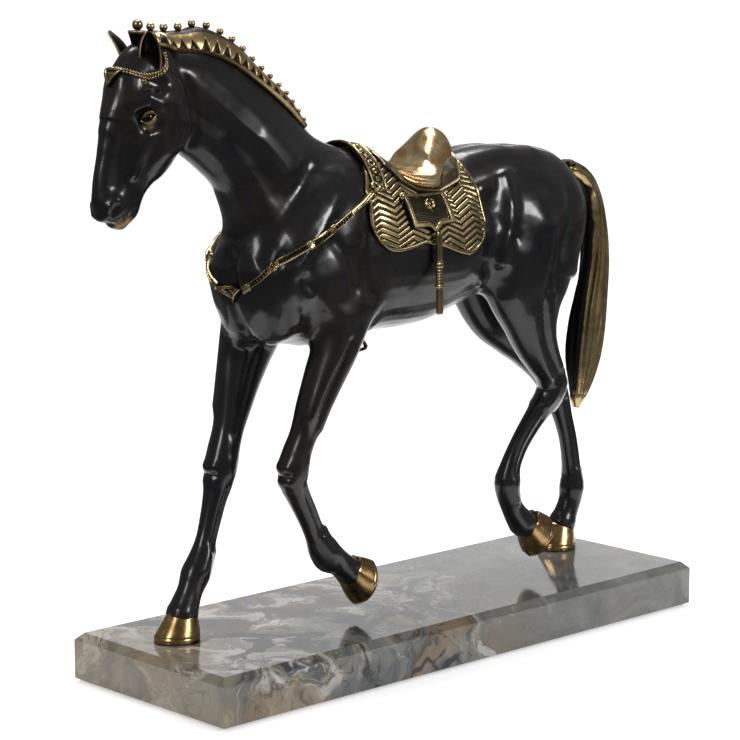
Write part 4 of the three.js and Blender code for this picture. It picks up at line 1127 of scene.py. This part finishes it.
head_core = np.array([-201, 0, 325])
half_band = [(-194, 10, 350), (-193.6, 14.5, 345.5), (-198, 16.8, 341), (-206, 16.6, 340),
             (-213, 13, 338), (-218, 7, 338.4), (-219.5, 0, 338.6)]
band_route = half_band + [(x, -y, z) for x, y, z in half_band[-2::-1]]
grid, cores, reach, across = skin_ribbon(band_route, head_core, 1.5, 420, 21)
bead_pitch, row_offset = 1.75, 0.72
from_bead = np.abs(((reach / bead_pitch) % 1.0) - 0.5)[:, None] * bead_pitch


def row_of_beads(offset):
    return np.sqrt(np.clip(0.72 - from_bead**2 - (across[None, :] - offset) ** 2, 0, None))


height = np.maximum(row_of_beads(row_offset), row_of_beads(-row_offset)) * 1.25
made = relief("beaded_browband", grid, cores, height, np.clip(height * 1.3, 0, 1), -0.4, 0.55)
finish_piece(made, "gold_bronze", gold, "browband")
for word, side in both_sides:
    foot = on_skin(np.array([(-211.8, side * 14.6, 335.2)]), head_core)[0]
    out = unit(foot - head_core)
    bead_piece = turned_piece(f"brow_pendant_{word}", foot - out * 0.5, out,
                              [(0, 2.0, 0.2), (0.7, 2.1, 0.9), (1.3, 1.7, 0.9), (1.5, 1.2, 0.1),
                               (1.9, 1.1, 0.9), (2.3, 0.6, 1)], 32)
    finish_piece(bead_piece, "gold_bronze", gold)


def plaque(name, corners, core, rows, border, stand, *stands_for):
    """A three-cornered plate: a bright frame round a sunk ground with a raised middle."""
    top_left, top_right, tip = (np.array(c, float) for c in corners)
    v, u = np.meshgrid(np.linspace(0, 1, rows), np.linspace(0, 1, rows), indexing="ij")
    reach = (v * 0.985)[..., None]
    edge_left = top_left + (tip - top_left) * reach
    edge_right = top_right + (tip - top_right) * reach
    cores = np.broadcast_to(np.asarray(core, float), edge_left.shape)
    grid = on_skin(edge_left + (edge_right - edge_left) * u[..., None], cores)
    wide = np.linalg.norm(top_right - top_left)
    tall = np.linalg.norm(tip - (top_left + top_right) / 2)
    lean = math.cos(math.atan2(wide / 2, tall))
    to_edge = np.minimum(v * tall, np.minimum(u, 1 - u) * wide * (1 - reach[..., 0]) * lean)
    rim = soft_step(to_edge, 0, 0.35) - soft_step(to_edge, border, border + 0.35)
    boss = soft_step(to_edge, border + 1.0, border + 1.4)
    height = 0.75 * rim + 0.4 * boss
    made = relief(name, grid, cores, height, np.clip(rim + boss, 0, 1), stand - 1.6, stand, 1)
    finish_piece(made, "gold_bronze", gold, *stands_for)


plaque("brow_triangle", [(-221, -7.4, 340.2), (-221, 7.4, 340.2), (-223, 0, 329.6)],
       head_core, 44, 1.5, 1.9, "brow_plaque")

# ---------------------------------------------------------------------------------------
# The saddle pad: a plate cast over the barrel, quilted in rows of zigzag ridges inside a
# plain raised border. It is shaped to the horse and brazed on.
barrel_core = 226
pad_front, pad_rear = (-42, -61), (33, 31)  # station of each edge over the spine, and low down
pad_rows, pad_columns = 230, 420


def around_barrel(stations, angles):
    """Skin points at stations along the horse and angles from straight up."""
    cores = np.stack([stations, 0 * stations, np.full_like(stations, barrel_core)], -1)
    rays = np.stack([0 * angles, np.sin(angles), np.cos(angles)], -1)
    return on_skin(cores + rays * 30, cores, 4.5), cores


u, v = np.meshgrid(np.linspace(0, 1, pad_rows), np.linspace(-1, 1, pad_columns), indexing="ij")
low_share = np.clip(np.abs(v) * 1.6, 0, 1)
front = pad_front[0] + (pad_front[1] - pad_front[0]) * low_share
rear = pad_rear[0] + (pad_rear[1] - pad_rear[0]) * low_share
reach = np.interp(u, [0, 0.12, 0.42, 0.55, 0.8, 0.93, 1], [92, 92, 84, 87, 97, 99, 95])
reach = np.radians(reach) * (1 - 0.30 * np.abs(2 * u - 1) ** 5.5)
stations = front + (rear - front) * u
grid, cores = around_barrel(stations, v * reach)
barrel_radius, border = 47, 2.3
zigzag_length, zigzag_height, row_pitch = 23, 5.6, 3.75
down = np.abs(v) * reach * barrel_radius  # millimetres down the side
along = stations - np.where(stations < -14, -54, 20)  # the zigzags meet under the flap
zigzag = zigzag_height * np.abs(((along / zigzag_length + 0.5) % 1.0) - 0.5) * 2
wave = np.cos(2 * np.pi * (down - zigzag) / row_pitch)
ridge = soft_step(wave, -0.8, -0.1)
to_edge = np.minimum(np.minimum(u, 1 - u) * (rear - front), (1 - np.abs(v)) * reach * barrel_radius)
rim = soft_step(to_edge, 0, 0.7)
inner = soft_step(to_edge, border, border + 0.5)
height = rim * (0.95 * (1 - inner) + inner * (0.08 + 0.62 * ridge))
past_border = soft_step(to_edge, border + 0.3, border + 0.8)
height -= 0.55 * soft_step(to_edge, border - 0.1, border + 0.2) * (1 - past_border)
raised = (1 - inner) + inner * (0.02 + 0.98 * ridge)
past_border = soft_step(to_edge, border + 0.3, border + 0.7)
raised *= 1 - 0.9 * soft_step(to_edge, border - 0.15, border + 0.1) * (1 - past_border)
made = relief("quilted_pad", grid, cores, height, np.clip(raised, 0, 1), 0.3, 1.6)
finish_piece(made, "gold_bronze", gold, "saddle_pad")

# ---------------------------------------------------------------------------------------
# The seat: polished bright, dished in front and rising behind into a tall egg-shaped cantle
# that is scooped out toward the rider. A rolled edge runs round its foot.
seat_gold = polished_bronze("seat_bronze", (0.86, 0.68, 0.40), (0.58, 0.33, 0.11), 0.2)
seat_line = [
    (-43, 0, 286, 3, 4, 4), (-40, 0, 284, 9, 8, 6), (-36, 0, 281, 16, 8.5, 8), (-28, 0, 274, 23.5, 8.5, 9),
    (-17, 0, 268, 28.5, 8.5, 9), (-4, 0, 266, 30.5, 9, 9), (6, 0, 266.5, 30, 11.5, 9),
    (12, 0, 268, 26.5, 15.5, 9), (18.5, 0, 271, 22, 23, 9), (25, 0, 272, 19, 25.6, 9),
    (31.5, 0, 271, 16, 19.5, 8), (36, 0, 270, 11, 10, 6), (38, 0, 270, 5.5, 4, 3),
]
seat_clay = Clay((-52, -36, 246), (50, 36, 306), 0.6)
seat_clay.limb(oval_limb(seat_line, around=limb_around, pinch=0.1), limb_around, 2)
seat_strokes = with_mirror([  # the scooped cantle and the dip in front, then the rolled edge
    ([(4, -4, 288), (6, 4, 288)], 11, -5.5), ([(10, -2, 292), (10, 2, 292)], 9, -3.5),
    ([(-16, -9, 276), (-16, 9, 276)], 13, -1.4), ([(-40, 0, 292), (-34, 0, 290)], 6, -0.5),
    ([(2, 24, 276), (13, 22, 281), (20, 19, 290)], 5, -1.6),
    ([(-38, 13, 283), (-28, 22.5, 272.5), (-16, 28.5, 266), (0, 30.5, 262.5), (12, 29.5, 262.5),
      (24, 25, 265), (34, 17.5, 267), (40, 6, 269)], 2.0, 1.6),
    ([(-36, 11.5, 287), (-26, 20, 277), (-14, 26, 270.8), (0, 28.6, 267.4), (13, 27.4, 267.6)], 1.7, -0.9),
])
for route, radius, height in seat_strokes:
    seat_clay.stroke(route, radius, height)
seat_points, seat_quads = seat_clay.surface()
made = bronze_object("polished_seat", seat_points, seat_quads)
mark_raised(made, np.clip(0.35 + 0.9 * hollows(made, 14, 1.2), 0, 1))
finish_piece(made, "gold_bronze", seat_gold, "saddle_seat")

# ---------------------------------------------------------------------------------------
# The skirt: a thin cast plate between the seat and the pad, dark in its field and gilt on
# its rolled edge.
skirt_u, skirt_v = np.meshgrid(np.linspace(0, 1, 90), np.linspace(-1, 1, 240), indexing="ij")
skirt_front = -38 - 8 * (1 - np.clip(np.abs(skirt_v) * 2, 0, 1))
skirt_rear = 33.0 - 3.0 * np.abs(skirt_v) ** 3
skirt_stations = skirt_front + (skirt_rear - skirt_front) * skirt_u
skirt_reach = np.radians(44.5) * np.interp(skirt_u, [0, 0.1, 0.3, 0.6, 0.85, 1],
                                           [0.55, 0.8, 0.98, 1.02, 0.90, 0.42])
grid, cores = around_barrel(skirt_stations, skirt_v * skirt_reach)
skirt_length, skirt_radius = 76, 52
to_edge = np.minimum(np.minimum(skirt_u, 1 - skirt_u) * skirt_length,
                     (1 - np.abs(skirt_v)) * skirt_reach * skirt_radius)
roll = soft_ridge(to_edge - 1.1, 0.8)
made = relief("saddle_skirt", grid, cores, roll, np.clip(0.22 + roll, 0, 1), 1.2, 3.2)
finish_piece(made, "gold_bronze", gold)

# ---------------------------------------------------------------------------------------
# The yoke: an openwork band over the withers, in front of the seat, with beads, rings and
# square studs between two bright rails.
def round_boss(gap, radius):
    """A half ball of height 1, over the distance from its middle."""
    return np.sqrt(np.clip(1 - (gap / radius) ** 2, 0, 1))


yoke_rows, yoke_columns, yoke_width, cell = 300, 45, 10.5, 5.2
u, v = np.meshgrid(np.linspace(-1, 1, yoke_rows), np.linspace(-1, 1, yoke_columns), indexing="ij")
yoke_angle = np.radians(43) * u
grid, cores = around_barrel(-46.5 - 4.5 * np.abs(u) + v * yoke_width / 2, yoke_angle)
run = yoke_angle * 55
side_at = v * yoke_width / 2
within = ((run / cell) % 1.0 - 0.5) * cell
kind = np.floor(run / cell).astype(int) % 3
round_at = np.sqrt(within**2 + side_at**2)
bead = round_boss(round_at, 1.9) * 1.1
ring = soft_ridge(round_at - 1.9, 0.55)
square = soft_step(1.6 - np.maximum(np.abs(within), np.abs(side_at)), 0, 0.4) * 0.9
figures = np.select([kind == 0, kind == 1], [bead, ring], square)
small_at = ((np.abs(within) - cell / 2) ** 2 + (np.abs(side_at) - 2.4) ** 2) / 0.6
small = np.sqrt(np.clip(1 - small_at, 0, 1)) * 0.6
rails = soft_ridge(np.abs(side_at) - (yoke_width / 2 - 0.9), 0.62) * 1.15
ends = soft_step(np.abs(u), 0.955, 0.97)
height = np.maximum.reduce([figures, small, rails, 0.9 * ends])
made = relief("yoke_over_withers", grid, cores, height, np.clip(height, 0, 1), 2.0, 3.6)
finish_piece(made, "gold_bronze", gold, "yoke_band")

# ---------------------------------------------------------------------------------------
# The flaps: one plate on each side over the pad, framed in bright bronze round a dark
# hatched ground, with a ring boss, and a ball at each end of the upper bar.
flap_rows, flap_columns = 130, 170
panel_top, panel_height, panel_point = 268.5, 27, 3.5
boss_station, boss_drop, dot_drop = -14.8, 10.2, 16.4
for word, side in both_sides:
    v, u = np.meshgrid(np.linspace(0, 1, flap_rows), np.linspace(-1, 1, flap_columns), indexing="ij")
    point = panel_point * soft_ridge(u, 0.16) + 1.2 * np.clip(1 - np.abs(u), 0, 1)
    drop = v * (panel_height + point)
    half = 19.6 - 2.4 * v  # half the flap's width, narrower at its foot
    station = -17.3 + u * half + 1.6 * v
    cores = np.stack([station, 0 * u, np.full_like(u, barrel_core)], -1)
    targets = np.stack([station, np.full_like(u, side * 46.0), panel_top - drop], -1)
    grid = on_skin(targets, cores)
    to_foot = (1 - v) * (panel_height + point)
    to_edge = np.minimum(np.minimum((1 - np.abs(u)) * half, to_foot), v * panel_height)
    bright_frame = soft_step(to_edge, 0, 0.5) - soft_step(to_edge, 2.7, 3.1)
    ground = soft_step(to_edge, 2.9, 3.3)
    hatch = 0.5 + 0.5 * np.cos(2 * np.pi * (station + 0.1 * drop) / 1.05)
    wander = 0.65 + 0.35 * np.sin(drop * 4.1 + 1.2 * np.sin(station * 0.9))
    boss_at = np.sqrt((station - boss_station) ** 2 + ((drop - boss_drop) * 0.82) ** 2)
    ring = soft_ridge(boss_at - 3.3, 0.75) * 1.8
    dome = round_boss(boss_at, 1.3) * 1.2
    dot_at = np.sqrt((station - boss_station) ** 2 + (drop - dot_drop) ** 2)
    dot = round_boss(dot_at, 0.95) * 0.9
    inner_line = soft_ridge(to_edge - 3.9, 0.3) * 0.25
    height = np.maximum.reduce([1.7 * bright_frame, ring, 0.8 * dome, dot, 0.16 * hatch * wander * ground])
    raised = np.maximum.reduce([bright_frame, ring, dome, dot * 1.2,
                                (0.05 + 0.30 * hatch * wander) * ground + inner_line])
    made = relief(f"framed_flap_{word}", grid, cores, height, np.clip(raised, 0, 1), 3.0, 4.2, 6)
    finish_piece(made, "gold_bronze", gold, f"panel_{word}", f"panel_ring_{word}")
    out = unit(np.array([0, side, 0.35]))
    for number, column in ((1, 0), (2, flap_columns - 1)):
        ball = turned_piece(f"flap_ball_{word}_{number}", grid[1, column] + out * 3.6, out,
                            [(-0.4, 1.2, 0.3), (0.3, 1.9, 0.8), (1.1, 2.2, 1), (2.0, 1.9, 1),
                             (2.7, 1.1, 1), (2.95, 0.3, 1)], 28)
        finish_piece(ball, "gold_bronze", gold)

# ---------------------------------------------------------------------------------------
# The straps: a cast bar hangs from under each flap. The left one has two round ribs above,
# a collar at each end of a chased middle, and a plain tongue that widens downward.
def barrel_strap(name, top, foot, rows_at, stands_for, around=48):
    """A flattened bar. A row is share of its length, half width, half thickness, bright, and
    1 where a groove runs down its two faces."""
    top, foot = np.array(top, float), np.array(foot, float)
    down = unit(foot - top)
    wide_way = unit(np.cross(down, (0, 1, 0)))
    thick_way = np.cross(down, wide_way)
    angle = np.linspace(0, 2 * np.pi, around, endpoint=False)
    square = np.abs(np.cos(angle)) ** 0.55 * np.sign(np.cos(angle))
    other = np.abs(np.sin(angle)) ** 0.55 * np.sign(np.sin(angle))
    rows, bright = [], []
    for share, wide, thick, shine, ribs in rows_at:
        groove = 1 - ribs * soft_ridge(np.cos(angle), 0.22) * 0.55
        rows.append(top + (foot - top) * share + wide_way * (square * wide)[:, None]
                    + thick_way * (other * thick * groove)[:, None])
        bright.append(shine * (1 - 0.85 * ribs * soft_ridge(np.cos(angle), 0.16)))
    points = np.concatenate([*rows, [rows[0].mean(0)], [rows[-1].mean(0)]])
    made = bronze_object(name, points, tube_triangles(len(rows), around))
    turn_outward(made)
    mark_raised(made, np.concatenate([*bright, [1, 1]]))
    finish_piece(made, "gold_bronze", gold, stands_for)


left_rows = [(0, 1.4, 0.9, 0.8, 1), (0.02, 2.0, 1.4, 1, 1)]
left_rows += [(s, 2.0, 1.4, 1, 1) for s in np.linspace(0.05, 0.345, 10)]
left_rows += [(0.355, 2.0, 1.3, 0.2, 0), (0.365, 2.6, 1.9, 1, 0), (0.385, 2.9, 2.1, 1, 0),
              (0.41, 2.9, 2.1, 1, 0), (0.425, 2.6, 1.8, 1, 0), (0.435, 1.9, 1.3, 0.2, 0)]
for s in (0.455, 0.489, 0.523, 0.557, 0.591):  # the chased middle
    left_rows += [(s, 2.2, 1.4, 0.35, 0), (s + 0.008, 2.4, 1.6, 0.9, 0), (s + 0.021, 2.4, 1.6, 0.9, 0),
                  (s + 0.029, 2.2, 1.4, 0.1, 0)]
left_rows += [(0.628, 2.1, 1.4, 0.2, 0), (0.638, 2.8, 1.9, 1, 0), (0.662, 2.9, 2.0, 1, 0),
              (0.674, 2.2, 1.4, 0.2, 0), (0.69, 2.1, 1.2, 0.8, 0), (0.72, 2.2, 1.3, 1, 0),
              (0.90, 2.5, 1.3, 1, 0), (0.975, 2.4, 1.2, 1, 0), (0.995, 2.3, 1.0, 1, 0),
              (1.0, 1.9, 0.7, 0.8, 0)]
barrel_strap("ribbed_strap_left", (-15.5, -50.2, 238), (-14.6, -50.3, 187.3), left_rows, "strap_left")
right_rows = [(0, 1.8, 1.0, 0.8, 1), (0.02, 2.2, 1.3, 1, 1), (0.5, 2.2, 1.3, 1, 1), (0.96, 2.1, 1.2, 1, 1),
              (1.0, 1.8, 0.9, 0.8, 0)]
barrel_strap("ribbed_strap_right", (-15.5, 50.4, 238), (7.5, 47.6, 166), right_rows, "strap_right")

# ---------------------------------------------------------------------------------------
# The stirrup iron: a small three-cornered ring of oval bar, brazed to the foot of the right
# strap.
def closed_ring(name, sections):
    """A ring through a grid of points, one row for each section of its bar."""
    steps, rounds = sections.shape[:2]
    k, j = np.meshgrid(np.arange(steps), np.arange(rounds), indexing="ij")
    after, beside = (k + 1) % steps, (j + 1) % rounds
    faces = np.stack([k * rounds + j, k * rounds + beside, after * rounds + beside, after * rounds + j], -1)
    made = bronze_object(name, sections.reshape(-1, 3), faces.reshape(-1, 4))
    turn_outward(made)
    return made


corners = [np.array(c) for c in ((7.5, 47.5, 164.2), (1.3, 47.2, 150.8), (16.2, 47.2, 152.6))]
loop = np.array([start + (end - start) * t for start, end in zip(corners, corners[1:] + corners[:1])
                 for t in np.linspace(0.12, 0.88, 7)])
bar_wide, bar_thick = 1.15, 1.7
outward = unit(np.cross(unit(np.roll(loop, -1, 0) - np.roll(loop, 1, 0)), (0, 1, 0)))
angle = np.linspace(0, 2 * np.pi, 8, endpoint=False)[:, None]
made = closed_ring("stirrup_iron", loop[:, None] + outward[:, None] * bar_wide * np.cos(angle)
                   + np.array([0, bar_thick, 0]) * np.sin(angle))
mark_raised(made, np.full(len(made.data.vertices), 0.3))
finish_piece(made, "gold_bronze", gold, "stirrup_right")

# ---------------------------------------------------------------------------------------
# The breast collar: cast links from the foot of the yoke round the chest. From the ring: a
# solid bar, a pierced link, then open links between clasps, a rosette, another pierced link
# and a buckle.
collar_core = np.array([-85, 0, 226])
ring_radius, ring_bar = 2.6, 1.05
collar_route = [
    (-55.5, 36, 264.2), (-66, 39.5, 259), (-76, 41, 254), (-90.5, 41, 246.3), (-107.5, 38, 236.6),
    (-118, 34, 230.6), (-127, 29, 225.2), (-133.5, 20.5, 216.5), (-137, 11.5, 210),
]
mark = np.array([0.0, 0.20, 0.34, 0.37, 0.53, 0.56, 0.745, 0.80, 0.955, 1.0])  # ends of its links
rosette_share = (mark[6] + mark[7]) / 2
for word, side in both_sides:
    route = [(x, side * y, z) for x, y, z in collar_route]
    grid, cores, reach, across = skin_ribbon(route, collar_core, 2.6, 520, 27)
    share = (reach / reach[-1])[:, None]
    off = np.abs(across)[None, :]
    kinds = np.clip(np.searchsorted(mark, share, side="right") - 1, 0, len(mark) - 2)
    within = share - mark[kinds]
    span = mark[kinds + 1] - mark[kinds]
    ends = np.minimum(within, span - within) * reach[-1]
    bar = round_boss(off, 1.5) * 1.3 + 0 * share
    rail = soft_ridge(off - 1.45, 0.42) * 1.25 + 0 * share
    rung_at = ((share * reach[-1] / 2.1) % 1.0) - 0.5
    pierced = np.maximum(rail, soft_ridge(off, 1.0) * soft_ridge(rung_at, 0.2) * 0.75)
    block = np.sqrt(np.clip(1 - (off / 2.5) ** 4, 0, 1)) * 1.6 + 0 * share
    end_cap = soft_ridge(ends, 0.9) * (off < 2.0)
    links = [bar, pierced, block, rail, block, rail, block * 0, pierced, block]
    height = np.select([kinds == k for k in range(len(links))], links)
    height = np.maximum(height, 1.3 * end_cap)
    rosette_at = np.sqrt(((share - rosette_share) * reach[-1]) ** 2 + off**2)
    rosette = np.maximum(soft_ridge(rosette_at - 2.0, 0.5) * 1.7,
                         round_boss(rosette_at, 1.0) * 1.5)
    height = np.where(rosette_at < 2.9, np.maximum(rosette, 0.35), height)
    pierced_through = height < 0.12
    climb = 2.6 * np.clip(1 - share * 6.5, 0, 1)  # its upper end rises over the edge of the pad
    stand = climb + 0.35 + np.minimum(1.35 * height, 2.0) - 0.5 * pierced_through
    made = relief(f"breast_collar_{word}", grid, cores, stand, np.clip(height, 0, 1), climb - 0.3, 0, 6)
    finish_piece(made, "gold_bronze", gold, f"collar_{word}")
    # The ring that ties the collar to the yoke.
    spot = on_skin(np.array([(-53.0, side * 36, 266)]), collar_core)[0]
    out = unit(np.array([0, spot[1], spot[2] - barrel_core]))
    sideways = unit(np.cross(out, (1, 0, 0)))
    a = np.linspace(0, 2 * np.pi, 40, endpoint=False)[:, None]
    b = np.linspace(0, 2 * np.pi, 14, endpoint=False)[None, :, None]
    spoke = (np.array([1, 0, 0]) * np.cos(a) + sideways * np.sin(a))[:, None]
    ring = closed_ring(f"tie_ring_{word}", spot + out * 5.6 + spoke * (ring_radius + ring_bar * np.cos(b))
                       + out * ring_bar * np.sin(b))
    mark_raised(ring, np.ones(len(ring.data.vertices)))
    finish_piece(ring, "gold_bronze", gold, f"collar_ring_{word}")

plaque("chest_triangle", [(-138, -11.5, 210.6), (-138, 11.5, 210.6), (-137, 0, 199.4)],
       collar_core, 60, 1.8, 2.6, "collar_plaque")

# ---------------------------------------------------------------------------------------
# The plinth: one sawn slab of swirled marble with its upper edges bevelled and everything
# polished to a mirror. Grey-blue ground, white clouds, ochre and dark pools, a tan end.
def swirled_marble():
    material, surface = new_material("swirled_marble", Specular_IOR_Level=0.4)
    position = node_of(material, "ShaderNodeTexCoord").outputs["Object"]
    warp = node_of(material, "ShaderNodeTexNoise", Scale=11.0, Detail=3.0, Roughness=0.55)
    wire(material, position, warp.inputs["Vector"])

    def vectors(operation, first, second):
        made = node_of(material, "ShaderNodeVectorMath", operation=operation)
        wire(material, first, made.inputs[0])
        if isinstance(second, tuple):
            made.inputs[1].default_value = second
        else:
            wire(material, second, made.inputs[1])
        return made.outputs["Vector"]

    swirl = 0.17  # how far the stone has flowed, in metres
    centred = vectors("SUBTRACT", warp.outputs["Color"], (0.5, 0.5, 0.5))
    folded = vectors("ADD", position, vectors("MULTIPLY", centred, (swirl, swirl, swirl)))

    def cloud(scale, detail, roughness, distortion, *shift):
        """A cloud of the folded stone, taken from its own place in the noise."""
        source = vectors("ADD", folded, shift)
        return cloudy(material, scale, detail, roughness, distortion, source)

    ground = ramp(material, cloudy(material, 15, 10, 0.62, 0.9, folded),
                  (0.28, (0.033, 0.038, 0.043)), (0.40, (0.078, 0.085, 0.089)), (0.49, (0.137, 0.141, 0.133)),
                  (0.57, (0.192, 0.181, 0.152)), (0.66, (0.244, 0.226, 0.189)), (0.76, (0.370, 0.355, 0.318)))
    flow = node_of(material, "ShaderNodeTexWave", Scale=6.5, Distortion=11.0, Detail=6.0)
    flow.inputs["Detail Scale"].default_value = 1.3
    flow.inputs["Detail Roughness"].default_value = 0.62
    wire(material, folded, flow.inputs["Vector"])
    folds = ramp(material, flow.outputs["Fac"],
                 (0.0, (0.028, 0.033, 0.042)), (0.22, (0.070, 0.082, 0.098)), (0.40, (0.150, 0.150, 0.135)),
                 (0.55, (0.290, 0.245, 0.170)), (0.66, (0.135, 0.100, 0.060)), (0.80, (0.165, 0.168, 0.158)),
                 (0.95, (0.400, 0.385, 0.345)))
    folding = remap(material, cloud(7, 4, 0.5, 0.6, 0.2, 0.6, 0.9), 0.44, 0.54, 0.15, 0.9)
    ground = blend_colours(material, folding, ground, folds)
    for place, low, high, most, colour in (  # ochre, umber, dark pools, white clouds
        ((8, 8, 0.6, 1.6, 0.31, 0.12, 0.4), 0.51, 0.60, 0.62, (0.167, 0.107, 0.052)),
        ((11, 8, 0.6, 1.8, 0.9, 0.5, 0.2), 0.555, 0.61, 0.85, (0.063, 0.041, 0.025)),
        ((13, 8, 0.62, 1.3, 0.7, 0.33, 0.05), 0.585, 0.625, 1.0, (0.021, 0.023, 0.027)),
        ((14, 9, 0.62, 1.7, 0.11, 0.81, 0.23), 0.585, 0.63, 1.0, (0.444, 0.437, 0.414)),
    ):
        share = remap(material, cloud(*place), low, high, 0.0, most)
        ground = blend_colours(material, share, ground, colour)
    # Fine brown veins run where a cloud passes through its middle value.
    seam = node_of(material, "ShaderNodeMath", operation="SUBTRACT")
    wire(material, cloud(9, 6, 0.55, 2.4, 0.5, 0.9, 0.6), seam.inputs[0])
    seam.inputs[1].default_value = 0.5
    off_seam = node_of(material, "ShaderNodeMath", operation="ABSOLUTE")
    wire(material, seam.outputs["Value"], off_seam.inputs[0])
    veins = remap(material, off_seam.outputs["Value"], 0.0, 0.014, 0.8, 0.0)
    ground = blend_colours(material, veins, ground, (0.030, 0.022, 0.016))
    apart = node_of(material, "ShaderNodeSeparateXYZ")
    wire(material, folded, apart.inputs[0])
    calm = remap(material, apart.outputs["X"], -0.02, 0.09, 0.0, 0.86)
    still = ramp(material, cloud(9, 9, 0.6, 1.6, 0.4, 0.1, 0.7),
                 (0.34, (0.085, 0.092, 0.090)), (0.47, (0.128, 0.133, 0.125)), (0.56, (0.165, 0.165, 0.150)),
                 (0.68, (0.215, 0.208, 0.182)))
    ground = blend_colours(material, calm, ground, still)
    tan_end = remap(material, apart.outputs["X"], -0.215, -0.15, 0.75, 0.0)
    ground = blend_colours(material, tan_end, ground, (0.265, 0.215, 0.148))
    wire(material, ground, surface.inputs["Base Color"])
    uneven_polish(material, surface, 40, 3, 0.07, 0.13)
    return material


slab = nodes["plinth"]
slab.data.materials.clear()
slab.data.materials.append(swirled_marble())
ease = slab.modifiers.new("eased_edges", "BEVEL")
ease.width, ease.segments, ease.limit_method = 0.0005, 3, "ANGLE"
ease.angle_limit = math.radians(30)

# ---------------------------------------------------------------------------------------
# Under the slab: black pressed felt, glued on, and the plated steel stud, washer and nut
# that hold each of the two planted feet.
felt, felt_surface = new_material("pressed_felt", Roughness=0.95, Sheen_Weight=0.4)
wire(felt, ramp(felt, cloudy(felt, 900, 5, 0.7), (0.3, (0.006, 0.006, 0.008)), (0.7, (0.02, 0.02, 0.024))),
     felt_surface.inputs["Base Color"])
bumped(felt, felt_surface, cloudy(felt, 2500, 5, 0.7), 0.0003, 0.6)
zinc, zinc_surface = new_material("plated_steel", Metallic=1.0)
wire(zinc, ramp(zinc, cloudy(zinc, 500, 3), (0.3, (0.42, 0.42, 0.44)), (0.7, (0.60, 0.60, 0.61))),
     zinc_surface.inputs["Base Color"])
uneven_polish(zinc, zinc_surface, 900, 4, 0.25, 0.45)
fixings = [f"{kind}_{place}" for kind in ("stud", "washer", "nut") for place in ("fore", "hind")]
for name, material, slot in [("base_felt", felt, "felt")] + [(f, zinc, "steel") for f in fixings]:
    nodes[name].data.materials.clear()
    nodes[name].data.materials.append(material)
